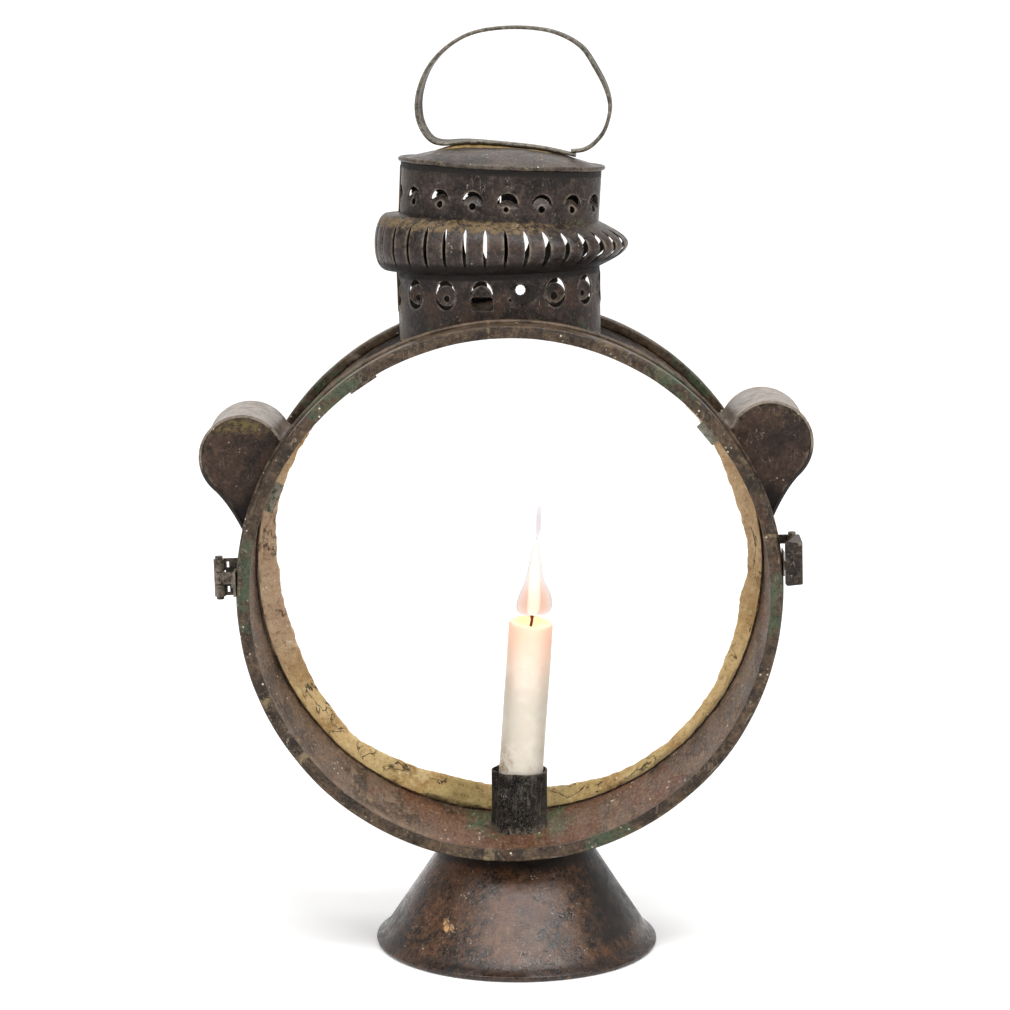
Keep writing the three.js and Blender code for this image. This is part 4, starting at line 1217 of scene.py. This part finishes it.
# ---- Latch hasp: a plate wrapped round its pin and bent over at the front ----
def make_hasp():
    outer = LATCH_X + KNUCKLE_RADIUS
    front = DOOR_FRONT + 1.5
    wrap = arc((LATCH_X, LATCH_Y), KNUCKLE_RADIUS, 250, 0, 20)
    bend = arc((outer - 2.2, front + 2.2), 2.2, 0, -90, 8)
    path = wrap + bend + [(DOOR_RADIUS + 1.2, front)]
    lengths, place_at = follow(path, 0.3)
    low, high = LATCH_Z - LATCH_LENGTH / 2, LATCH_Z + LATCH_LENGTH / 2
    wrap_end = lengths[20]
    end = lengths[-1]
    outline = rounded([
        (0, low + 6.9, 0.4), (wrap_end + 3, low + 6.9, 1.5), (wrap_end + 7, low, 3.5), (end, low, 1.6),
        (end, high, 1.6), (wrap_end + 7, high, 3.5), (wrap_end + 3, high - 6.9, 1.5), (0, high - 6.9, 0.4),
    ], 1.0, steps=6)

    def hasp_point(along, z, depth):
        (x, y), way = place_at(along)
        return (x + way.y * depth, y - way.x * depth, z)

    hasp = sheet_piece("hasp", outline, [], 0.8, hasp_point, HASP_SHEET, in_body)
    soften(hasp, 0.25)
    paint(hasp, worn=lambda x, y, z: 0.5 * between(z, LATCH_Z + 5, LATCH_Z + 10) * between(x, 138, 142))
    stands_for(hasp, "latch", "iron", "fitting_iron", "latch_hasp")


# ---- Candle ----
def make_socket():
    sides = 96
    drum_there = in_socket.inverted() @ drum_centre

    def socket_point(angle, radius, z):
        x = radius * cos(angle)
        seat = drum_there.z - sqrt((DRUM_RADIUS - SHEET - GAP) ** 2 - (x - drum_there.x) ** 2)
        if z < SOCKET_FLOOR - 3:
            z = seat
        rim = between(z, SOCKET_TOP - 6, SOCKET_TOP)
        z += rim * (0.7 * hoop(angle, 1.6, seed=30))
        out = 0.35 * hoop(angle, 1.8, z * 0.05, seed=31)
        flare = 0.5 * between(SOCKET_FLOOR + 1 - z, 0, 5) if radius > SOCKET_RADIUS - 0.5 else 0.0
        lap = 0.45 * (1 - between(abs(angle - 4.3), 0.14, 0.19)) if radius > SOCKET_RADIUS - 0.5 else 0.0
        reach = radius + out + flare + lap
        return (reach * cos(angle), reach * sin(angle), z)

    heights = np.linspace(SOCKET_FLOOR, SOCKET_TOP - 0.4, 14)
    profile = [(0.01, 50.0), (SOCKET_RADIUS, 50.0)] + [(SOCKET_RADIUS, z) for z in heights]
    profile += [(SOCKET_RADIUS - 0.3, SOCKET_TOP), (SOCKET_RADIUS - 0.8, SOCKET_TOP)]
    profile += [(SOCKET_RADIUS - SHEET, z) for z in heights[::-1]] + [(0.01, SOCKET_FLOOR)]
    socket = turned("socket_cup", profile, sides, socket_point, in_socket)
    paint(
        socket,
        pale=lambda x, y, z: 0.5 * between(x, 2, 12) * between(-z, -80, -66),
        worn=lambda x, y, z: 0.35 * between(x, 0, 10) * between(-z, -82, -70) + 0.3 * between(z, 84, 88),
        soot=lambda x, y, z: 0.3 * between(-x, 0, 9) + 0.35 * between(z, 76, 84),
        green=lambda x, y, z: 0.6 * between(-z, -64, -58),
    )
    stands_for(socket, "lantern", "socket", "sooty_tin", "candle_socket")


def make_candle():
    def candle_point(angle, radius, z):
        near_top = between(z, CANDLE_LENGTH - 12, CANDLE_LENGTH - 1)
        waist = 0.18 * hoop(angle, 1.5, z * 0.04, seed=33)
        share = radius / CANDLE_RADIUS
        z += near_top * share * (0.9 * sin(angle) + 0.5 * hoop(angle, 1.7, seed=34))
        reach = radius + (waist + 0.25 * near_top * hoop(angle, 2.5, seed=35)) * share
        return (reach * cos(angle), reach * sin(angle), z)

    profile = [(0.01, 0.0), (CANDLE_RADIUS - 0.4, 0.0), (CANDLE_RADIUS, 0.4)]
    profile += [(CANDLE_RADIUS, z) for z in np.linspace(4, CANDLE_LENGTH - 3, 34)]
    profile += [(CANDLE_RADIUS - 0.15, CANDLE_LENGTH - 1.2), (CANDLE_RADIUS - 0.6, CANDLE_LENGTH - 0.4),
                (CANDLE_RADIUS - 1.5, CANDLE_LENGTH), (CANDLE_RADIUS - 2.6, CANDLE_LENGTH - 0.7),
                (7.0, CANDLE_LENGTH - 1.9), (4.0, CANDLE_LENGTH - 2.7), (1.5, CANDLE_LENGTH - 3.1),
                (0.01, CANDLE_LENGTH - 3.2)]
    wax = turned("wax_candle", profile, 96, candle_point, in_candle, sharp=60)
    paint(
        wax,
        # painted flame light: how strongly the wax near the top is tinted and glows
        glow=lambda x, y, z: 0.95 * between(z, CANDLE_LENGTH - 46, CANDLE_LENGTH + 4) ** 1.2,
        soot=lambda x, y, z: max(between(-x, 0, 9) * between(-z, -46, -30), 0.4 * between(-z, -34, -26)),
    )
    stands_for(wax, "candle", "wax", "wax", "candle")

    rows, sides = 26, 12
    points = []
    for i in range(rows):
        share = i / (rows - 1)
        z = CANDLE_LENGTH - 3.4 + 6.4 * share
        lean_x = 0.55 * sin(share * 2.4) - 0.2
        knob = 1 + 0.55 * exp(-((share - 0.9) / 0.1) ** 2) - 0.25 * between(share, 0.95, 1.0)
        for j in range(sides):
            angle = 2 * pi * j / sides
            reach = 0.72 * knob * (1 + 0.2 * hoop(angle, 2, share * 9, seed=36))
            if i in (0, rows - 1):
                reach *= 0.5
            points.append((lean_x + reach * cos(angle), reach * sin(angle), z))
    wick = piece("wick_end", points, tube_faces(rows, sides), in_candle)
    stands_for(wick, "candle", "wick", "wick", "wick")


# ---- Flame: light, not a piece of the lantern ----
def lamp(name, kind, place, power):
    data = bpy.data.lights.new(name, kind)
    data.energy = power
    made = bpy.data.objects.new(name, data)
    made.location = place
    bpy.context.scene.collection.objects.link(made)
    return made


# Each row of a flame's shape: height above the candle, sideways place and half width.
FLAME_BODY = [
    (2.4, 0.7, 2.6), (3.2, 0.9, 6.6), (5.9, 1.3, 9.0), (9.4, 1.6, 9.3), (14.3, 1.9, 8.1), (18.7, 1.8, 5.8),
    (22.7, 1.6, 4.5), (31.5, 2.0, 3.2), (38.5, 2.2, 2.0), (43.5, 2.3, 0.5),
]
FLAME_TIP = [
    (41.5, 2.3, 0.5), (44.0, 2.9, 1.3), (47.5, 3.4, 1.8), (53.0, 3.5, 1.8), (57.5, 3.7, 1.4),
    (62.0, 3.8, 0.5),
]
FLAME_CORE = [
    (2.6, 0.5, 1.2), (5, 0.9, 3.3), (10, 1.4, 3.5), (20, 1.5, 3.0), (28, 1.8, 2.2), (34, 2.0, 1.2),
    (37, 2.2, 0.3),
]
FLAME_FLATNESS = 0.75  # its depth as a share of its width
BODY_INSET, SKIN_DEPTH = 0.55, 0.42  # the body stops short of the skin, so that no two surfaces coincide


def make_flame():
    top = Matrix.Translation(in_candle @ Vector((0, 0, CANDLE_LENGTH))) @ to_millimetres
    tints = {
        "body": (90, (0.78, 0.36, 0.12, 1)), "tip": (330, (0.5, 0.38, 0.41, 1)),
        "skin": (300, (0.32, 0.22, 0.2, 1)),
    }
    shapes = (("body", FLAME_BODY), ("skin", FLAME_BODY), ("tip", FLAME_TIP), ("core", FLAME_CORE))
    for name, shape in shapes:
        heights = np.linspace(shape[0][0], shape[-1][0], 44)
        shifts = np.interp(heights, [row[0] for row in shape], [row[1] for row in shape])
        widths = np.interp(heights, [row[0] for row in shape], [row[2] for row in shape])
        kernel = np.array([0.25, 0.5, 0.25])
        widths[1:-1] = np.convolve(widths, kernel, "valid")
        if name == "body":
            heights, shifts, widths = heights[1:-1], shifts[1:-1], np.maximum(widths[1:-1] - BODY_INSET, 0.05)
        profile = [(0.0, heights[0])] + list(zip(widths, heights)) + [(0.0, heights[-1])]
        if name == "skin":
            inner = np.maximum(widths - SKIN_DEPTH, 0.02)
            profile = list(zip(widths, heights)) + list(zip(inner, heights))[::-1]
        sides = 40
        points = []
        for i in range(sides):
            angle = 2 * pi * i / sides
            for width, height in profile:
                shift = float(np.interp(height, heights, shifts))
                reach = max(width, 0.01)
                points.append((shift + reach * cos(angle), FLAME_FLATNESS * reach * sin(angle), height))
        faces = grid_faces(sides, len(profile), True, name == "skin")
        flame = piece("flame_" + name, points, faces, top, sharp=80)
        f = Finish("flame_" + name)
        if name == "core":
            volume = f.node("ShaderNodeEmission", {"Color": (1.0, 0.96, 0.86, 1), "Strength": 150})
        else:
            density, tint = tints[name]
            volume = f.node("ShaderNodeVolumeAbsorption", {"Density": density, "Color": tint})
        f.node("ShaderNodeOutputMaterial", {"Volume": volume.outputs[0]})
        flame.data.materials.append(f.material)
        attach(flame, "candle")
    light = lamp("flame_light", "POINT", in_candle @ Vector((1, 0, CANDLE_LENGTH + 16)), 0.05)
    light.data.color = (1.0, 0.72, 0.5)
    light.data.shadow_soft_size = 0.006


# ---- Nodes kept as they are, with softened edges and their own finishes ----
def keep_nodes():
    kept = {
        "hinge_drum_leaf": ("hinge", 0.25), "hinge_door_leaf": ("hinge", 0.25), "hinge_pin": ("hinge", 0.2),
        "latch_bracket": ("iron", 0.25), "latch_pin": ("iron", 0.2), "latch_strike": ("ring", 0.3),
        "front_glass": ("glass", 0.0), "back_glass": ("glass", 0.0),
    }
    kept.update({f"glass_clip_{i}": ("clip", 0.2) for i in range(1, 6)})
    kept["glass_clip_2"] = ("ring", 0.2)
    kept["glass_clip_3"] = ("green_clip", 0.2)
    for node, (finish, edge) in kept.items():
        made = frame["nodes"][node]
        made.data.materials.clear()
        made.data.materials.append(finishes[finish])
        if edge:
            soften(made, edge)


# ---- Floor, backdrop and light ----
FLOOR_GLOW = 0.17
ROOM_LIGHT, ROOM_SEEN = 0.5, 1.0  # the white room's strength on the lantern and to the camera
LAMP_AIM, WASH_AIM = (0, 0, 0.22), (0, 3.6, 0.4)


def make_studio():
    f = Finish("floor_finish")
    colour = f.mix(f.band(f.noise(3, 3, 0.5), 0.3, 0.7), (0.90, 0.90, 0.90, 1), (0.93, 0.93, 0.93, 1))
    floor_finish = f.finish(
        Base_Color=colour, Roughness=0.9, Specular_IOR_Level=0.1,
        Emission_Color=(1, 1, 1, 1), Emission_Strength=FLOOR_GLOW,
    )
    depth, radius, height, half_width = 3.0, 1.2, 4.0, 6.0
    rows = [(-4.0, 0.0)] + [(depth + radius * sin(a), radius - radius * cos(a))
                            for a in np.linspace(0, pi / 2, 16)] + [(depth + radius, height)]
    points, faces = [], []
    for y, z in rows:
        points += [(-half_width, y, z), (half_width, y, z)]
    for i in range(len(rows) - 1):
        faces.append((2 * i, 2 * i + 1, 2 * i + 3, 2 * i + 2))
    backdrop = piece("backdrop", points, faces, Matrix.Identity(4), closed=False)
    backdrop.data.materials.append(floor_finish)

    world = bpy.data.worlds.new("studio")
    world.use_nodes = True
    nodes, links = world.node_tree.nodes, world.node_tree.links
    seen = nodes.new("ShaderNodeLightPath")
    strength = nodes.new("ShaderNodeMapRange")
    strength.inputs["To Min"].default_value = ROOM_LIGHT
    strength.inputs["To Max"].default_value = ROOM_SEEN
    links.new(seen.outputs["Is Camera Ray"], strength.inputs["Value"])
    links.new(strength.outputs["Result"], nodes["Background"].inputs["Strength"])
    nodes["Background"].inputs["Color"].default_value = (1, 1, 1, 1)
    bpy.context.scene.world = world

    lamps = [
        ("key_left", (-1.2, -1.1, 1.3), 0.4, 1.1, 9),
        ("key_front", (-0.17, -0.66, 1.3), 0.07, 0.5, 6),
        ("key_beside", (0.5, -0.6, 1.2), 0.07, 0.5, 6),
        ("key_right", (1.15, -1.2, 1.3), 0.6, 1.1, 6),
        ("top_soft", (0.0, 0.1, 2.1), 1.6, 1.6, 13),
        ("backdrop_wash", (0.0, 1.6, 2.6), 3.0, 1.4, 40),
    ]
    for name, place, width, height, power in lamps:
        made = lamp(name, "AREA", place, power)
        made.data.shape = "RECTANGLE"
        made.data.size, made.data.size_y = width, height
        aim = Vector(WASH_AIM if name == "backdrop_wash" else LAMP_AIM)
        made.rotation_euler = (aim - Vector(place)).to_track_quat("-Z", "Y").to_euler()
    bpy.context.scene.view_settings.view_transform = "Standard"


make_door()
make_drum()
make_putty()
make_foot()
make_chimney()
make_cap()
make_handle()
make_ear("right", 1)
make_ear("left", -1)
make_hasp()
make_socket()
make_candle()
make_flame()
keep_nodes()
make_studio()
